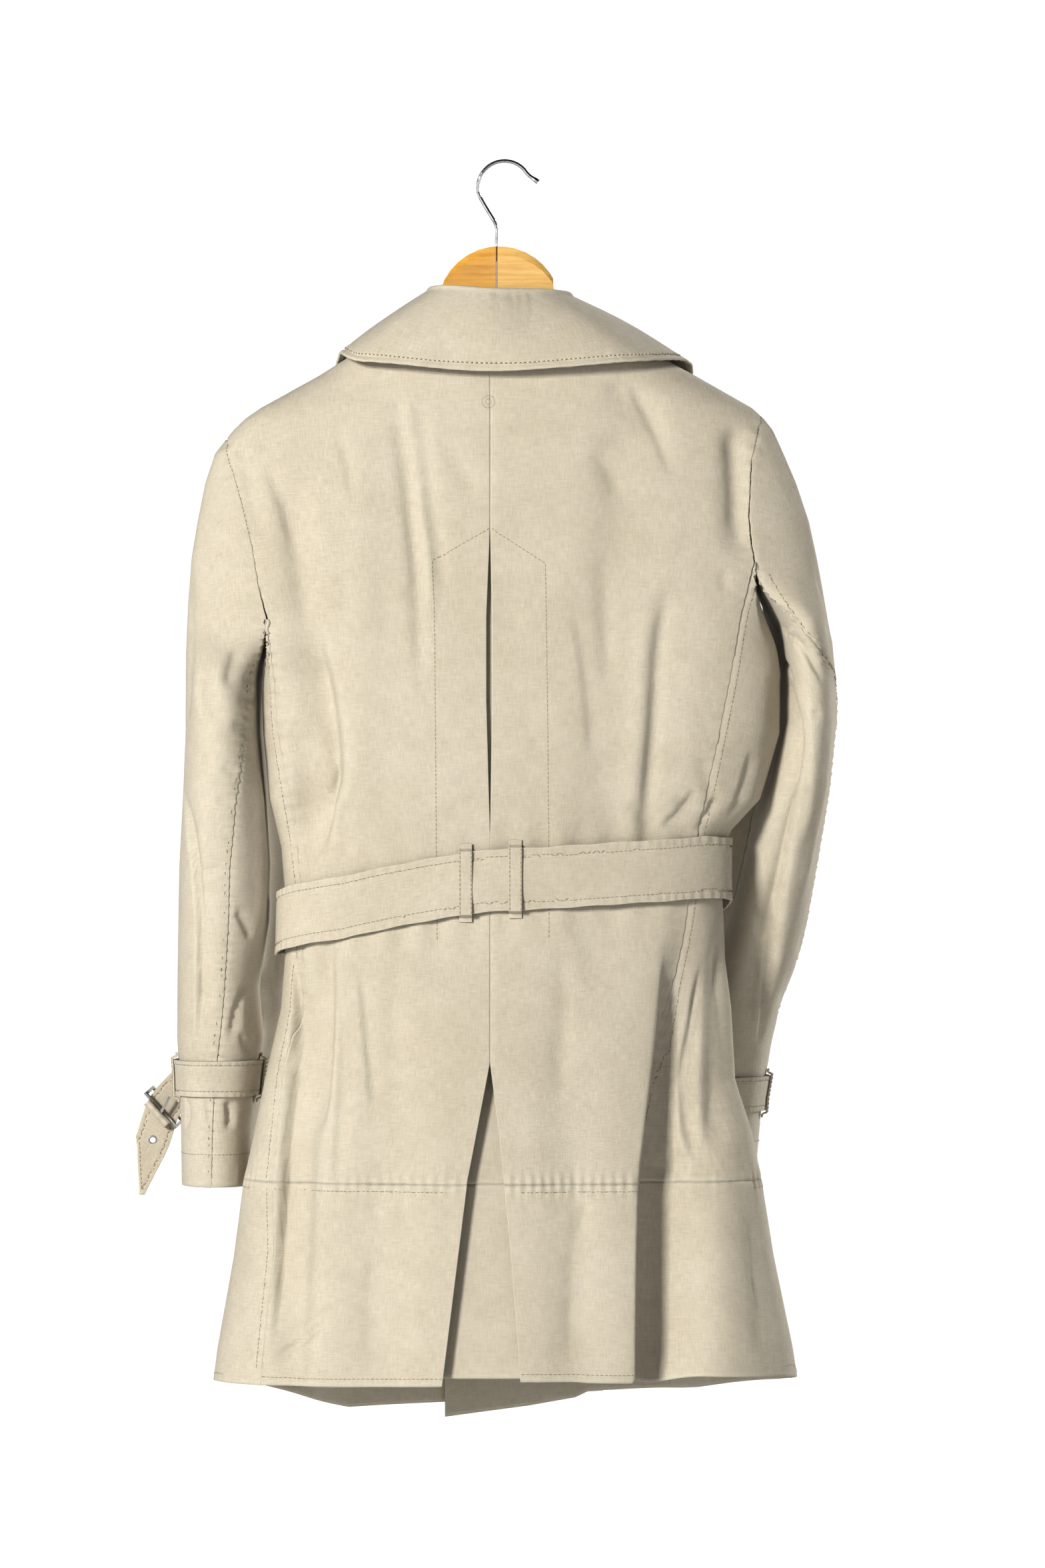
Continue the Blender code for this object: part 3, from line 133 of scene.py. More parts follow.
# The body below the armholes: outline, depth and squareness of its ring.
BODY = Table("z left right back front square", """
-990 -232.5 235 108 112 2.2
-923.5 -223.8 224.8 102 106 2.2
-852.3 -211.1 210 94 97 2.2
-796.1 -203.8 201 88 90 2.2
-757.1 -195.5 193.5 83 85 2.3
-715.5 -187.2 180 78 80 2.3
-658.8 -174.2 176.8 69 72 2.3
-620.4 -171.5 172 62 66 2.3
-567.3 -171.5 171 56 60 2.3
-534.6 -174 171.2 57 60 2.3
-520 -177.5 177.5 58.5 61.5 2.3
-497.1 -183 200 61 64 2.4
-445.1 -188.2 215 65.5 68 2.5
-398.3 -189.8 215.8 64 68 2.7
-355.7 -189 208 62 67 3.2
-300 -186.6 198 58 64 4""", plain="square")
# Seams between the back and its neighbours: the armhole above, the side-back seam below.
SIDE_SEAM = {
    -1: Table("z x", """
-990 -190; -934.7 -187.6; -843.8 -179; -790.1 -180.6; -708.9 -173.1; -650 -162.5; -618.6 -159;
-560.2 -159.2; -514.4 -165.8; -442.6 -176.9; -408.2 -179; -357.3 -184.2; -331.5 -190.5; -300.6 -195.7;
-266.5 -204.1; -245.8 -210; -228.7 -216"""),
    1: Table("z x", """
-990 108; -787.6 112.6; -704.3 125.7; -659 133; -575.1 143.6; -523.7 150.2; -463.6 162.9; -402.5 175.2;
-354.7 183; -313 194.4; -297.5 191.9; -276.3 190; -232.3 192.7; -201.7 199.6"""),
}
# The hem's height on the back and on the fronts, which hang lower towards their free edges.
HEM = {
    -1: Table("x back front", """
-226.2 -948 -949.5; -198 -947.6 -957; -157 -947 -969.2; -120 -946.5 -979.6; -49 -945.3 -977;
80 -945.3 -967.2"""),
    1: Table("x back front", """
-48 -941.7 -988.5; 17.5 -941.7 -979.5; 54.7 -942 -972.6; 66 -943 -967; 98 -943.5 -965.5; 106 -939.5 -965;
150 -939.5 -961.7; 215.8 -943 -952; 235 -945.5 -947"""),
}
# Free edges at the centre back: the pleat's slit above, the kick pleat below.
CENTRE_EDGE = {
    -1: Table("z x", """
-990 -50.5; -945.4 -47.6; -787.6 -27.9; -699 -11; -523.7 -11; -420 -13.8; -355.7 -13.8; -286.1 -11"""),
    1: Table("z x", """
-990 15; -941.8 12.5; -843.3 4.9; -753.6 -3.9; -699 -11; -523.7 -11; -420 -9.5; -355.7 -9.8; -286.1 -11"""),
}
# The sleeves as stacked rings: outer and inner edge, middle and half depth along Y, and the angles of the
# hind and fore seams, from the back towards the outer side.
SLEEVE = {
    -1: Table("z outer inner mid deep hind fore", """
-799.5 -254.6 -198.5 57 56 3 190
-757.1 -255 -197.5 54 57 2 192
-715.5 -255.5 -193.5 45 57 1 195
-683.3 -257 -189 33 56 -2 198
-643.8 -256.5 -191.9 28 57 -10 200
-593.3 -255.5 -184.5 22 60 -8 205
-547.6 -254.5 -183 19 61 -8 210
-497.1 -251.6 -186.8 16 62 -18 215
-445.1 -249.2 -191.8 12 62 -40 225
-393.1 -248.8 -192.8 8 60 -62 235
-357.3 -247.8 -188 5 56 -70 245""", plain="hind fore"),
    1: Table("z outer inner mid deep hind fore", """
-795 201 140 138 51 100 280
-734.8 205.6 140 127 52 100 280
-690 212.7 145 116 53 100 280
-655.2 220.9 153 106 54 100 278
-626.6 232.2 164 95 54 98 275
-595.9 238.9 176 82 55 96 270
-558.5 244.8 186 64 56 95 265
-510.1 252 199 44 57 94 260
-484.1 255.5 208 33 58 93 258
-434.7 259.7 219.5 22 59 90 252
-400.9 258.7 219.5 16 59 62 248
-373.9 256 217 12 58 3 245
-359.8 253.5 214 10 57 -22 245
-313 244.7 198 4 55 -60 245""", plain="hind fore"),
}
# How far the front half of a sleeve reaches in behind the body's edge, beyond its ring.
TUCK = {
    -1: Table("z tuck", """
-799.5 0; -715.5 10; -660 24; -600 30; -530 26; -460 18; -400 10; -357.3 0"""),
    1: Table("z tuck", """
-795 0; -690 6; -630 16; -570 26; -510 36; -450 36; -390 26; -350 12; -313 0"""),
}
# Troughs pressed into the rings: -1 on the back or 1 on the front, then for the line of the bottom its upper
# and lower z and x there, its width towards -X and +X, and its depth at both ends.
FOLDS = np.array(numbers("""
-1 -150 -700 98 66 20 30 4 3
-1 -320 -560 129 108 7 20 3 4
-1 -200 -315 180 183 12 10 5 4
-1 -575 -990 140 118 11 30 6 34
-1 -585 -780 171 166 8 12 6 8
-1 -190 -420 -74 -64 6 6 3 2
-1 -240 -400 -166 -150 14 14 5 3
-1 -430 -560 -160 -150 12 12 4 6
-1 -620 -990 -149 -166 16 12 6 12
-1 -620 -990 -90 -100 25 30 3 7
-1 -620 -990 45 58 20 24 2 6
1 -350 -560 -120 -105 20 20 3 5
1 -350 -560 130 112 18 18 3 6
1 -620 -995 -118 -145 18 26 6 18
1 -620 -995 122 150 20 26 6 18""")) / ([1] + 8 * [1000])
# The collar from the wearer's left front end round the back to the right one: x, y and z of the foot of the
# stand, of the fold at its top and of the fall's lower edge, and by how much the fall's middle stands out.
COLLAR = np.array(numbers("""
-4 52 -205  -10 60 -190  -88 64 -252  4
-41 36 -147  -46 46 -134  -130 54 -208  6
-62 10 -118  -56 14 -104  -131 10 -151.5  1
-56 -18 -122  -46.5 -22 -100  -110 -44 -157  4
-11 -29 -130  -8 -33 -103  -8 -54 -166  6
34 -18 -122  37 -22 -103.5  95 -47 -158  4
45.5 10 -114.5  48.5 14 -107.5  146.5 6 -157.5  1.8
25 34 -147  34 46 -134  126 58 -212  6
-4 48 -205  -2 56 -190  80 64 -256  4""")) / 1000
# The belt's middle line by angle round the waist, from the centre back.
BELT_LINE = Table("angle z", """
-180 -590; -90 -594; -40 -580; 0 -559; 30 -553; 60 -549; 90 -551; 130 -572; 180 -590; 270 -594
""", plain="angle")
LAPEL = Table("z width lift", "-330 4 1.8; -300 30 2.2; -262 58 2.4; -232 78 2.4; -215 62 2.4")
# The loose end of the left cuff's strap, hanging through its buckle: its middle line, and how far each part
# of its width reaches beyond TAIL_HOLE. Its end is cut on a slant.
TAIL = np.array(numbers("""
-238 106 -706; -256 106 -724; -271.5 105.5 -742; -280.5 104 -768; -290.5 99.5 -788; -301 96 -809""")) / 1000
TAIL_END = Table("share reach", "-1 42; -0.75 44; 1 2.5", plain="share")
# The strap's end, turned over beside the buckle's front bar: distance down across the bar, and y
TURNED_END = np.array(numbers("3.6 96.5; 4.2 93.6; 5.8 92.2; 7.6 92.8; 9.2 95; 10.2 98.5; 10.5 102")) / 1000
TURNED_LONG = 0.0245

# Creases in the cloth: -1 on the back or 1 on the front, width towards -X and +X, depth (negative stands out)
# and the x and z of each point of the line
CREASES = """
-1 5 5 -1.8  -77 -173 -66 -266 -60 -309 -56 -360
-1 6 6 2  -86 -175 -75 -266 -68 -309 -64 -358
-1 6 6 1.6  -66 -183 -57 -266 -50 -309 -47 -358
-1 15 15 -2  -113 -188 -111 -343 -115 -446 -117 -564
-1 9 9 2.6  -169 -249 -161 -309 -150 -369
-1 6 6 2.4  -206 -215 -198 -255 -189 -300
-1 7 7 1.4  -46 -218 -33 -242 -18 -270
-1 13 13 2.4  76 -173 100 -191 128 -211
-1 8 8 1.8  71 -223 82 -244 92 -265
-1 7 7 1.4  75 -299 78 -358 80 -414
-1 6 6 3  126 -328 118 -385 115 -446 108 -526
-1 9 9 -1.2  114 -332 107 -386 104 -446 96 -523
-1 7 7 3  178 -204 180 -250 181 -299
-1 4 4 1.4  168 -318 170 -328 172 -337
-1 6 6 1.6  -122 -492 -124 -523 -121 -554
-1 11 11 3.2  -155 -623 -159 -729 -166 -855
-1 2 4 2.8  -181 -929 -168 -918 -155 -909 -130 -892
-1 5 5 -1.8  158 -639 151 -670 145 -711 143 -754
-1 5 5 1.6  128 -495 142 -504 159 -515
-1 5 5 1.2  93 -500 106 -508 121 -519
-1 6 6 1.4  151 -460 157 -482 163 -510
-1 4 4 0.9  -81 -803 -78 -814 -72 -825
-1 4 4 0.8  -101 -805 -100 -815 -96 -827
-1 4 4 0.8  64 -803 61 -817 58 -832
-1 8 8 1.4  43 -600 46 -662 42 -734
-1 9 9 1.3  -81 -610 -86 -682 -83 -754
-1 7 7 1.2  -8 -353 2 -356 13 -362
1 8 8 2.2  -175 -290 -135 -350 -95 -430
1 6 6 1.6  -190 -330 -160 -390 -140 -470
1 9 9 2.4  180 -290 140 -350 90 -420
1 7 7 1.8  195 -350 172 -420 150 -500
1 8 8 -1.6  -125 -300 -85 -390 -70 -480
1 8 8 2  -55 -470 -60 -510 -52 -550
1 6 6 1.8  35 -460 42 -510 36 -548
1 7 7 2  118 -490 110 -525 116 -555
1 10 10 3  20 -630 26 -740 20 -880
1 9 9 2.6  -95 -630 -101 -720 -96 -790
1 8 8 -2  100 -640 108 -760 112 -900
1 8 8 2.4  132 -630 140 -720 148 -820
1 6 6 1.8  -145 -630 -150 -690 -144 -760
1 5 5 1.2  -30 -625 -24 -670 -29 -710
-1 3 26 13  127 -600 124 -651 119 -703 113 -754 109 -790 107 -857 106 -947 106 -1012
-1 3 32 12  118 -703 113 -754 109 -790 107 -857 106 -947 106 -1012
-1 8 5 2.6  127 -789 138 -781 150 -771
-1 3 11 5.2  157 -616 150 -672 144 -713 147 -754 157 -790
-1 26 7 17  -152 -358 -139 -415 -133 -471 -140 -502 -148 -548
-1 4 8 3  -132 -471 -135 -484 -148 -497
-1 14 6 8  -139 -590 -137 -651 -140 -703 -146 -765
-1 2 17 10  -163 -600 -166 -682 -171 -754 -173 -801 -175 -847 -177 -883 -180 -929
-1 3 12 -2.5  146 -682 142 -754 148 -832
-1 2 8 2.2  -112 -621 -107 -682 -101 -744
-1 3 10 2  -130 -626 -126 -693 -128 -754 -132 -816
-1 5 12 1  -101 -832 -105 -883 -103 -940
-1 6 14 1.2  53 -754 56 -816 52 -883 54 -940
-1 3 12 2.4  187 -806 192 -857 198 -929
-1 2 10 2.6  148 -487 136 -505 120 -520
-1 2 6 2.2  164 -494 157 -508 149 -521
-1 3 8 2.4  192 -456 186 -482 175 -512
-1 4 9 1.6  53 -343 62 -394 66 -435 69 -471
-1 4 7 0.9  -14 -492 -29 -498 -46 -505
-1 2 6 1.5  -132 -209 -122 -240 -118 -271
-1 3 9 2.2  94 -168 115 -209 130 -250
-1 3 7 2.2  -186 -234 -173 -271 -163 -306"""
# The same on the sleeves: side, widths, depth, and the angle and z of each point
SLEEVE_CREASES = """
-1 6 6 -1.6  24 -500 20 -590 18 -690
-1 6 6 2  -57 -636 -48 -668 -52 -700
-1 7 7 1.8  70 -300 55 -380 62 -450
-1 6 6 1.4  15 -380 20 -430 10 -480
-1 7 7 2.6  185 -500 215 -525 250 -540
-1 6 6 2.2  170 -545 205 -555 245 -548
-1 6 6 2.2  180 -600 215 -585 250 -560
-1 6 6 1.8  100 -560 125 -580 150 -640
-1 6 6 1.4  120 -420 135 -480 130 -530
1 6 6 -1.4  40 -420 44 -500 40 -590
1 6 6 1.6  62 -300 55 -350 60 -400
1 7 7 3  180 -520 215 -545 258 -560
1 6 6 2.8  165 -560 205 -575 262 -585
1 6 6 2.6  170 -615 210 -605 260 -605
1 6 6 2.2  150 -650 190 -645 240 -630
1 5 5 1.8  60 -600 85 -625 110 -640
1 5 5 1.4  55 -645 80 -660 105 -690
1 6 6 1.6  130 -420 150 -470 165 -510"""
# The same on the backs of the sleeves: side, widths, depth, and the x and z of each point
SLEEVE_BACK_CREASES = """
-1 10 12 -3.2  -194 -461 -190 -512 -189 -564 -193 -615
-1 1.5 9 6  -251 -487 -245 -522 -238 -574 -237 -625 -239 -694
-1 5 8 3.4  -207 -377 -211 -395 -214 -412
-1 6 9 3  -232 -397 -229 -420 -220 -442
-1 3 4 1.8  -202 -406 -196 -402 -190 -401
-1 3 4 1.8  -207 -418 -200 -419 -193 -420
-1 3 4 1.6  -211 -438 -204 -441 -197 -446
-1 3 4 1.6  -218 -471 -212 -475 -207 -477
-1 2 3 1.6  -223 -495 -215 -499 -209 -500
-1 1.5 2.5 1.8  -240 -550 -229 -551 -216 -547
-1 2 3 1.4  -232 -568 -225 -571 -217 -570
-1 2 3 1.6  -239 -646 -231 -652 -223 -651
-1 2 6 2.8  -209 -580 -203 -593 -197 -606
-1 3 6 3.2  -196 -635 -206 -652 -214 -685
-1 2 7 3.4  -189 -625 -185 -651 -181 -681
-1 2 5 2.4  -207 -677 -202 -689 -197 -697
-1 2 5 4  -217 -730 -215 -741 -216 -755
-1 2 5 3  -249 -730 -248 -741 -250 -753
-1 2 3 1.6  -234 -730 -232 -737 -230 -748
-1 2 3 1.8  -197 -728 -196 -737 -197 -745
1 4 16 -3  236 -401 239 -451 238 -492 231 -537
1 16 6 11  219 -395 226 -441 221 -497 212 -563 207 -624 202 -684
1 4 5 -3  213 -573 205 -624 200 -669 198 -692
1 4 3 2.4  209 -634 204 -669 201 -692
1 3 4 2.6  215 -378 221 -395 225 -411
1 2 6 3.6  204 -347 217 -365 233 -384 250 -412
1 3 3 2  238 -433 241 -430 244 -427"""
GROOVE, GROOVE_WIDTH = 0.0006, 0.0022  # how far a seam is drawn in
PUCKER_WIDTH = 0.0080
# x, width and depth of the small creases at the collar's top
TOP_WRINKLES = np.array(numbers("-6 1.8 1.8; 0 1.8 1; 6 2 2.2; 13 2.4 1.4; 21 2.2 1.6")) / 1000


def smooth(value):
    value = np.clip(value, 0.0, 1.0)
    return value * value * (3 - 2 * value)


def part_way(first, last, share):
    return first + share * (last - first)


def unit(vectors):
    return vectors / np.maximum(np.linalg.norm(vectors, axis=-1, keepdims=True), 1e-12)


def power(value, exponent):
    """The value's size to a power, with its sign kept."""
    return np.sign(value) * abs(value) ** exponent


def length_along(path):
    """The length of a line up to each of its points."""
    return np.concatenate([[0], np.cumsum(np.linalg.norm(np.diff(path, axis=0), axis=1))])


def spline(values, count):
    """A Catmull-Rom curve through the values, as count points."""
    values = np.asarray(values, float)
    padded = np.concatenate([2 * values[:1] - values[1:2], values, 2 * values[-1:] - values[-2:-1]])
    place = np.linspace(0, len(values) - 1, count)
    first = np.minimum(place.astype(int), len(values) - 2)
    t = (place - first)[:, None]
    a, b, c, d = (padded[first + k] for k in range(4))
    square, cube = 2 * a - 5 * b + 4 * c - d, 3 * b - a - 3 * c + d
    return 0.5 * (2 * b + (c - a) * t + square * t ** 2 + cube * t ** 3)


# The form of the solids

def half_width(rows, x, z):
    """Distance from the centre line to the outline, on the side that x is on."""
    return np.where(x < CENTRE_X, CENTRE_X - rows("left", z), rows("right", z) - CENTRE_X)


def below_armpit(x, z):
    """0 at the armhole and above, 1 from BLEND below it."""
    armpit = np.interp(x, [-0.1, 0.1], [ARMPIT_Z[-1], ARMPIT_Z[1]])
    return smooth((armpit - z) / BLEND)


def depth(face, x, z):
    """How far the coat stands behind (face -1) or before (face 1) its middle plane."""
    deep = []
    for rows, square in ((SHOULDERS, SHOULDER_SQUARE), (BODY, BODY("square", z))):
        share = np.clip(abs(x - CENTRE_X) / half_width(rows, x, z), 0, 1)
        deep.append(rows(FACES[face], z) * np.maximum(1 - share ** square, 0) ** (1 / square))
    return part_way(*deep, below_armpit(x, z)) + HALF_SEAM


def trough(x, y, z):
    """How deep the folds press in at a point."""
    total = np.zeros_like(x)
    for face, upper, lower, upper_x, lower_x, near, far, upper_deep, lower_deep in FOLDS:
        share = (z - upper) / (lower - upper)
        over = x - part_way(upper_x, lower_x, share)
        deep = np.interp(share, [0, 1], [upper_deep, lower_deep])
        ends = smooth(share * 5) * smooth((1 - share) * 5)
        total += deep * ends * np.exp(-(over / np.where(over < 0, near, far)) ** 2) * smooth(face * y / 0.02)
    waist = BELT_LINE("z", np.degrees(np.arctan2(x - CENTRE_X, -y)))
    return total + 0.0012 * (1 + np.sin(x * 230 + 1)) * np.exp(-((z - waist) / 0.035) ** 2)


def folded(x, y, z):
    """The points with the folds pressed in along the ring's normal."""
    x, y, z = np.broadcast_arrays(x, y, z)
    thick = np.where(y < 0, BODY("back", z), BODY("front", z))
    normal = unit(np.stack([(x - CENTRE_X) / half_width(BODY, x, z) ** 2, y / thick ** 2], axis=-1))
    total = trough(x, y, z)
    return np.stack([x - normal[..., 0] * total, y - normal[..., 1] * total, z], axis=-1)


def on_face(face, x, z, out=0):
    """Points of the coat's back (face -1) or front (face 1), before the creases are pressed in."""
    x, z = np.asarray(x, float), np.asarray(z, float)
    return folded(x, face * (depth(face, x, z) + out), z)


def seam_x(side, z):
    return SIDE_SEAM[side]("x", z) - side * HALF_SEAM


def centre_x(side, z):
    return CENTRE_EDGE[side]("x", z) + side * HALF_SEAM


def armhole_offset(side, z):
    """Distance of the armhole seam from the centre line; below the armpit it stays as it is there."""
    return abs(SIDE_SEAM[side]("x", np.maximum(z, ARMPIT_Z[side])) - CENTRE_X)


def corner_offset(side, z):
    """Distance from the centre line to where the body's side starts."""
    x = CENTRE_X + side * 0.15
    return part_way(armhole_offset(side, z) - HALF_SEAM, CORNER * half_width(BODY, x, z), below_armpit(x, z))


def side_points(side, share, z):
    """The body's side between its back corner (share 0) and its front corner (share 1)."""
    x = CENTRE_X + side * 0.15
    square = BODY("square", z)
    start = np.arcsin(CORNER ** (square / 2))
    angle = start + share * (math.pi - 2 * start)
    reach = np.sin(angle) ** (2 / square)
    along = (1 - power(np.cos(angle), 2 / square) / np.cos(start) ** (2 / square)) / 2
    offset = corner_offset(side, z)
    corner = CENTRE_X + side * offset
    offset = offset + (reach - CORNER) * half_width(BODY, x, z) * below_armpit(x, z)
    along = part_way(along, share, 1 - below_armpit(x, z))
    return folded(CENTRE_X + side * offset, part_way(-depth(-1, corner, z), depth(1, corner, z), along), z)


def free_edge_x(side, z):
    """The front panels' free edge, and above the break the line on which the lapel turns."""
    low = OUTER_EDGE_X if side < 0 else INNER_EDGE_X
    return np.interp(z, [BREAK_Z, -0.1185], [low, CENTRE_X + side * NECK_HALF])


def overlap(side, x, z):
    """How far the inner front lies behind the outer one."""
    reach = np.minimum(free_edge_x(-1, z) + 0.022 - x, 0.016) if side > 0 else 0
    return OVERLAP_GAP * smooth(reach / 0.016)


def ridge_z(x):
    """Height of the shoulder line at x."""
    z, left, right = (SHOULDERS[name][SHOULDERS["z"] > -0.30][::-1] for name in ("z", "left", "right"))
    return np.where(x < CENTRE_X, np.interp(CENTRE_X - x, CENTRE_X - left, z),
                    np.interp(x - CENTRE_X, right - CENTRE_X, z))


def back_top(x):
    share = abs(x - CENTRE_X) / NECK_HALF
    return np.minimum(ridge_z(x), np.where(share < 1, NECK_BACK_Z + 0.012 * share ** 2, 0))


def hem_z(side, x, y):
    return part_way(HEM[side]("back", x), HEM[side]("front", x), smooth(0.5 + y / HEM_TURN))


def front_column(side, part, share, z):
    """A column of the front panel: in its strip of back, its side or its front, by part."""
    corner = CENTRE_X + side * corner_offset(side, z)
    if part == "side":
        return side_points(side, share, z)
    if part == "back":
        return on_face(-1, part_way(seam_x(side, z) + 2 * side * HALF_SEAM, corner, share), z)
    start = np.where(z < ARMPIT_Z[side], corner, seam_x(side, z))
    x = part_way(start, free_edge_x(side, z), share)
    return on_face(1, x, z, -overlap(side, x, z))


def sleeve_ring(side, angle, z):
    """Points of the sleeve's ring at an angle in degrees from its back, positive towards the outer side."""
    rows = SLEEVE[side]
    outer, inner = rows("outer", z), rows("inner", z)
    turn = np.radians(angle)
    x = (outer + inner) / 2 + (outer - inner) / 2 * power(np.sin(turn), 2 / SLEEVE_SQUARE)
    y = rows("mid", z) - rows("deep", z) * power(np.cos(turn), 2 / SLEEVE_SQUARE)
    before = smooth(-1.3 * np.cos(turn)) * smooth(-1.2 * np.sin(turn) + 0.2)
    return np.stack(np.broadcast_arrays(x - side * TUCK[side]("tuck", z) * before, y, z), axis=-1)


def cap_arc(side, share, z):
    """The sleeve's cap, from the armhole seam on the back round to the one on the front."""
    half = half_width(SHOULDERS, CENTRE_X + side * 0.2, z)
    root = 2 / SHOULDER_SQUARE
    start = np.arcsin(np.clip((armhole_offset(side, z) + HALF_SEAM) / half, 0, 1) ** (1 / root))
    angle = start + share * (math.pi - 2 * start)
    along = power(np.cos(angle), root)
    deep = np.where(along > 0, SHOULDERS("back", z), SHOULDERS("front", z))
    x = CENTRE_X + side * half * np.sin(angle) ** root
    return np.stack([x, -deep * along - np.clip(along * 20, -1, 1) * HALF_SEAM, z], axis=-1)


SLEEVE_SEAM = 0.15  # degrees between a sleeve panel's edge and the seam line


def sleeve_point(side, share, z, under=False):
    """A point of the top or the under sleeve, from the hind seam (share 0) to the fore seam (1)."""
    hind, fore = SLEEVE[side]("hind", z), SLEEVE[side]("fore", z)
    blend = smooth((ARMPIT_Z[side] - z) / CAP_BLEND)[..., None]
    if not under:
        ring = sleeve_ring(side, hind + SLEEVE_SEAM + share * (fore - hind - 2 * SLEEVE_SEAM), z)
        return cap_arc(side, share, z) * (1 - blend) + ring * blend
    ring = sleeve_ring(side, hind - SLEEVE_SEAM + share * (fore - 360 - hind + 2 * SLEEVE_SEAM), z)
    armpit = np.array([ARMPIT_Z[side]])
    flat = part_way(cap_arc(side, 0, armpit)[0], cap_arc(side, 1, armpit)[0], share)
    flat = flat + np.array([side * 0.0012 * math.sin(share * math.pi), 0, 0])
    flat = np.stack([np.full_like(z, flat[0]), np.full_like(z, flat[1]), z], axis=-1)
    return flat * (1 - blend) + ring * blend


def waist_at(angle, centre, z, gap):
    """A point outside the waist, at degrees round it from the centre back, by its outline at one height."""
    angle = (angle + 180) % 360 - 180
    side = 1 if angle >= 0 else -1
    turn = math.radians(abs(angle))
    square = BODY("square", centre)
    half = half_width(BODY, CENTRE_X + side * 0.1, centre) + gap
    thick = BODY(FACES[1 if abs(angle) > 90 else -1], centre) + gap
    x = CENTRE_X + side * half * math.sin(turn) ** (2 / square)
    return np.array([x, -thick * power(math.cos(turn), 2 / square), z])


def strap_point(side, angle, z, gap):
    """A point off the cuff at an angle, and the outward direction there."""
    before, point, after = (sleeve_ring(side, turn, z) for turn in (angle - 1, angle, angle + 1))
    out = unit(np.array([after[1] - before[1], before[0] - after[0], 0.0]) * side)
    return point + out * gap, out


# Creases and seams

def dense(points):
    """A smooth line through the points, with a point every 8 mm."""
    points = np.asarray(points, float)
    return spline(points, max(int(length_along(points)[-1] / 0.008), 2) + 1)


def face_line(face, points):
    """A line on the coat's back or front through (x, z)."""
    return on_face(face, *dense(points).T)


def sleeve_line(side, points):
    """A line on the sleeve through (angle in degrees, z)."""
    line = []
    for angle, z in spline(points, 14):
        if z > ARMPIT_Z[side] - CAP_BLEND:
            line.append(sleeve_point(side, np.clip((angle + 60) / 300, 0, 1), np.array([z]))[0])
        else:
            line.append(sleeve_ring(side, angle, z))
    return np.array(line)


def sleeve_back_line(side, points):
    """A line on the back of the sleeve through (x, z)."""
    line = []
    for x, z in dense(points):
        kinds = (False, True) if z < ARMPIT_Z[side] - CAP_BLEND else (False,)
        ring = np.array([sleeve_point(side, share, np.array([z]), under)[0]
                         for under in kinds for share in np.linspace(0, 1, 160)])
        hidden = ring[:, 1] > (ring[:, 1].min() + ring[:, 1].max()) / 2
        line.append(ring[(abs(ring[:, 0] - x) + hidden).argmin()])
    return np.array(line)


def crease_lines():
    """Each crease's line, its two widths and its depth."""
    lines = []
    for rows, line_of, scale in ((CREASES, face_line, 1000), (SLEEVE_CREASES, sleeve_line, 1),
                                 (SLEEVE_BACK_CREASES, sleeve_back_line, 1000)):
        for place, before, after, deep, *points in numbers(rows):
            points = np.reshape(points, (-1, 2)) / (scale, 1000)
            lines.append((line_of(int(place), points), before / 1000, after / 1000, deep / 1000))
    return lines


def band_line(z):
    """A level line right round the body from one front edge to the other."""
    z = np.array([z])
    halves = []
    for side, _ in SIDES:
        run = [front_column(side, "front", share, z)[0] for share in np.linspace(1, 0, 30)]
        run += [side_points(side, share, z)[0] for share in np.linspace(1, 0, 14)[1:]]
        x = np.linspace(CENTRE_X + side * corner_offset(side, z)[0], centre_x(side, z)[0], 30)[1:]
        halves.append(run + list(on_face(-1, x, np.repeat(z, 29))))
    return np.array(halves[0] + halves[1][::-1])


def seam_lines():
    """Each seam's line, how strongly it puckers and the pitch of the puckers."""
    lines = []
    for side, _ in SIDES:
        z = np.arange(HEM_BACK_Z, ARMPIT_Z[side], 0.01)
        lines.append((on_face(-1, seam_x(side, z), z), 0.0006, 0.011))
        shoulder = ridge_z(CENTRE_X + side * armhole_offset(side, SHOULDER_SEAM_Z))
        z = np.arange(ARMPIT_Z[side], shoulder, 0.008)
        for face in FACES:
            lines.append((on_face(face, seam_x(side, z), z), 0.0006, 0.012))
        z = np.arange(SLEEVE[side]["z"][0], ARMPIT_Z[side], 0.01)
        lines.append((sleeve_point(side, 0, z), 0.0015, 0.0075))
        lines.append((sleeve_point(side, 1, z), 0.0003, 0.012))
    for low, high in ((VENT_TOP_Z, PLEAT[0]), (PLEAT[1], NECK_BACK_Z)):
        z = np.arange(low, high, 0.01)
        lines.append((on_face(-1, np.full_like(z, CENTRE_X), z), 0.0002, 0.010))
    lines.append((band_line(BAND_Z), 0.0006, 0.0085))
    return lines


def nearest(line, points):
    """Distance from points to a line, their place along it as share and length, and their offset to +X."""
    start, step = line[:-1], np.diff(line, axis=0)
    squared = np.maximum((step ** 2).sum(axis=1), 1e-12)
    along = np.concatenate([[0], np.cumsum(np.sqrt(squared))])
    share = np.clip(np.einsum("psk,sk->ps", points[:, None] - start, step) / squared, 0, 1)
    away = points[:, None] - start - share[..., None] * step
    gap = np.linalg.norm(away, axis=-1)
    best = gap.argmin(axis=1)
    pick = np.arange(len(points))
    place = along[best] + share[pick, best] * np.sqrt(squared)[best]
    return gap[pick, best], place / along[-1], place, away[pick, best, 0]


def close_to(line, points, reach):
    return np.all((points > line.min(axis=0) - reach) & (points < line.max(axis=0) + reach), axis=1)


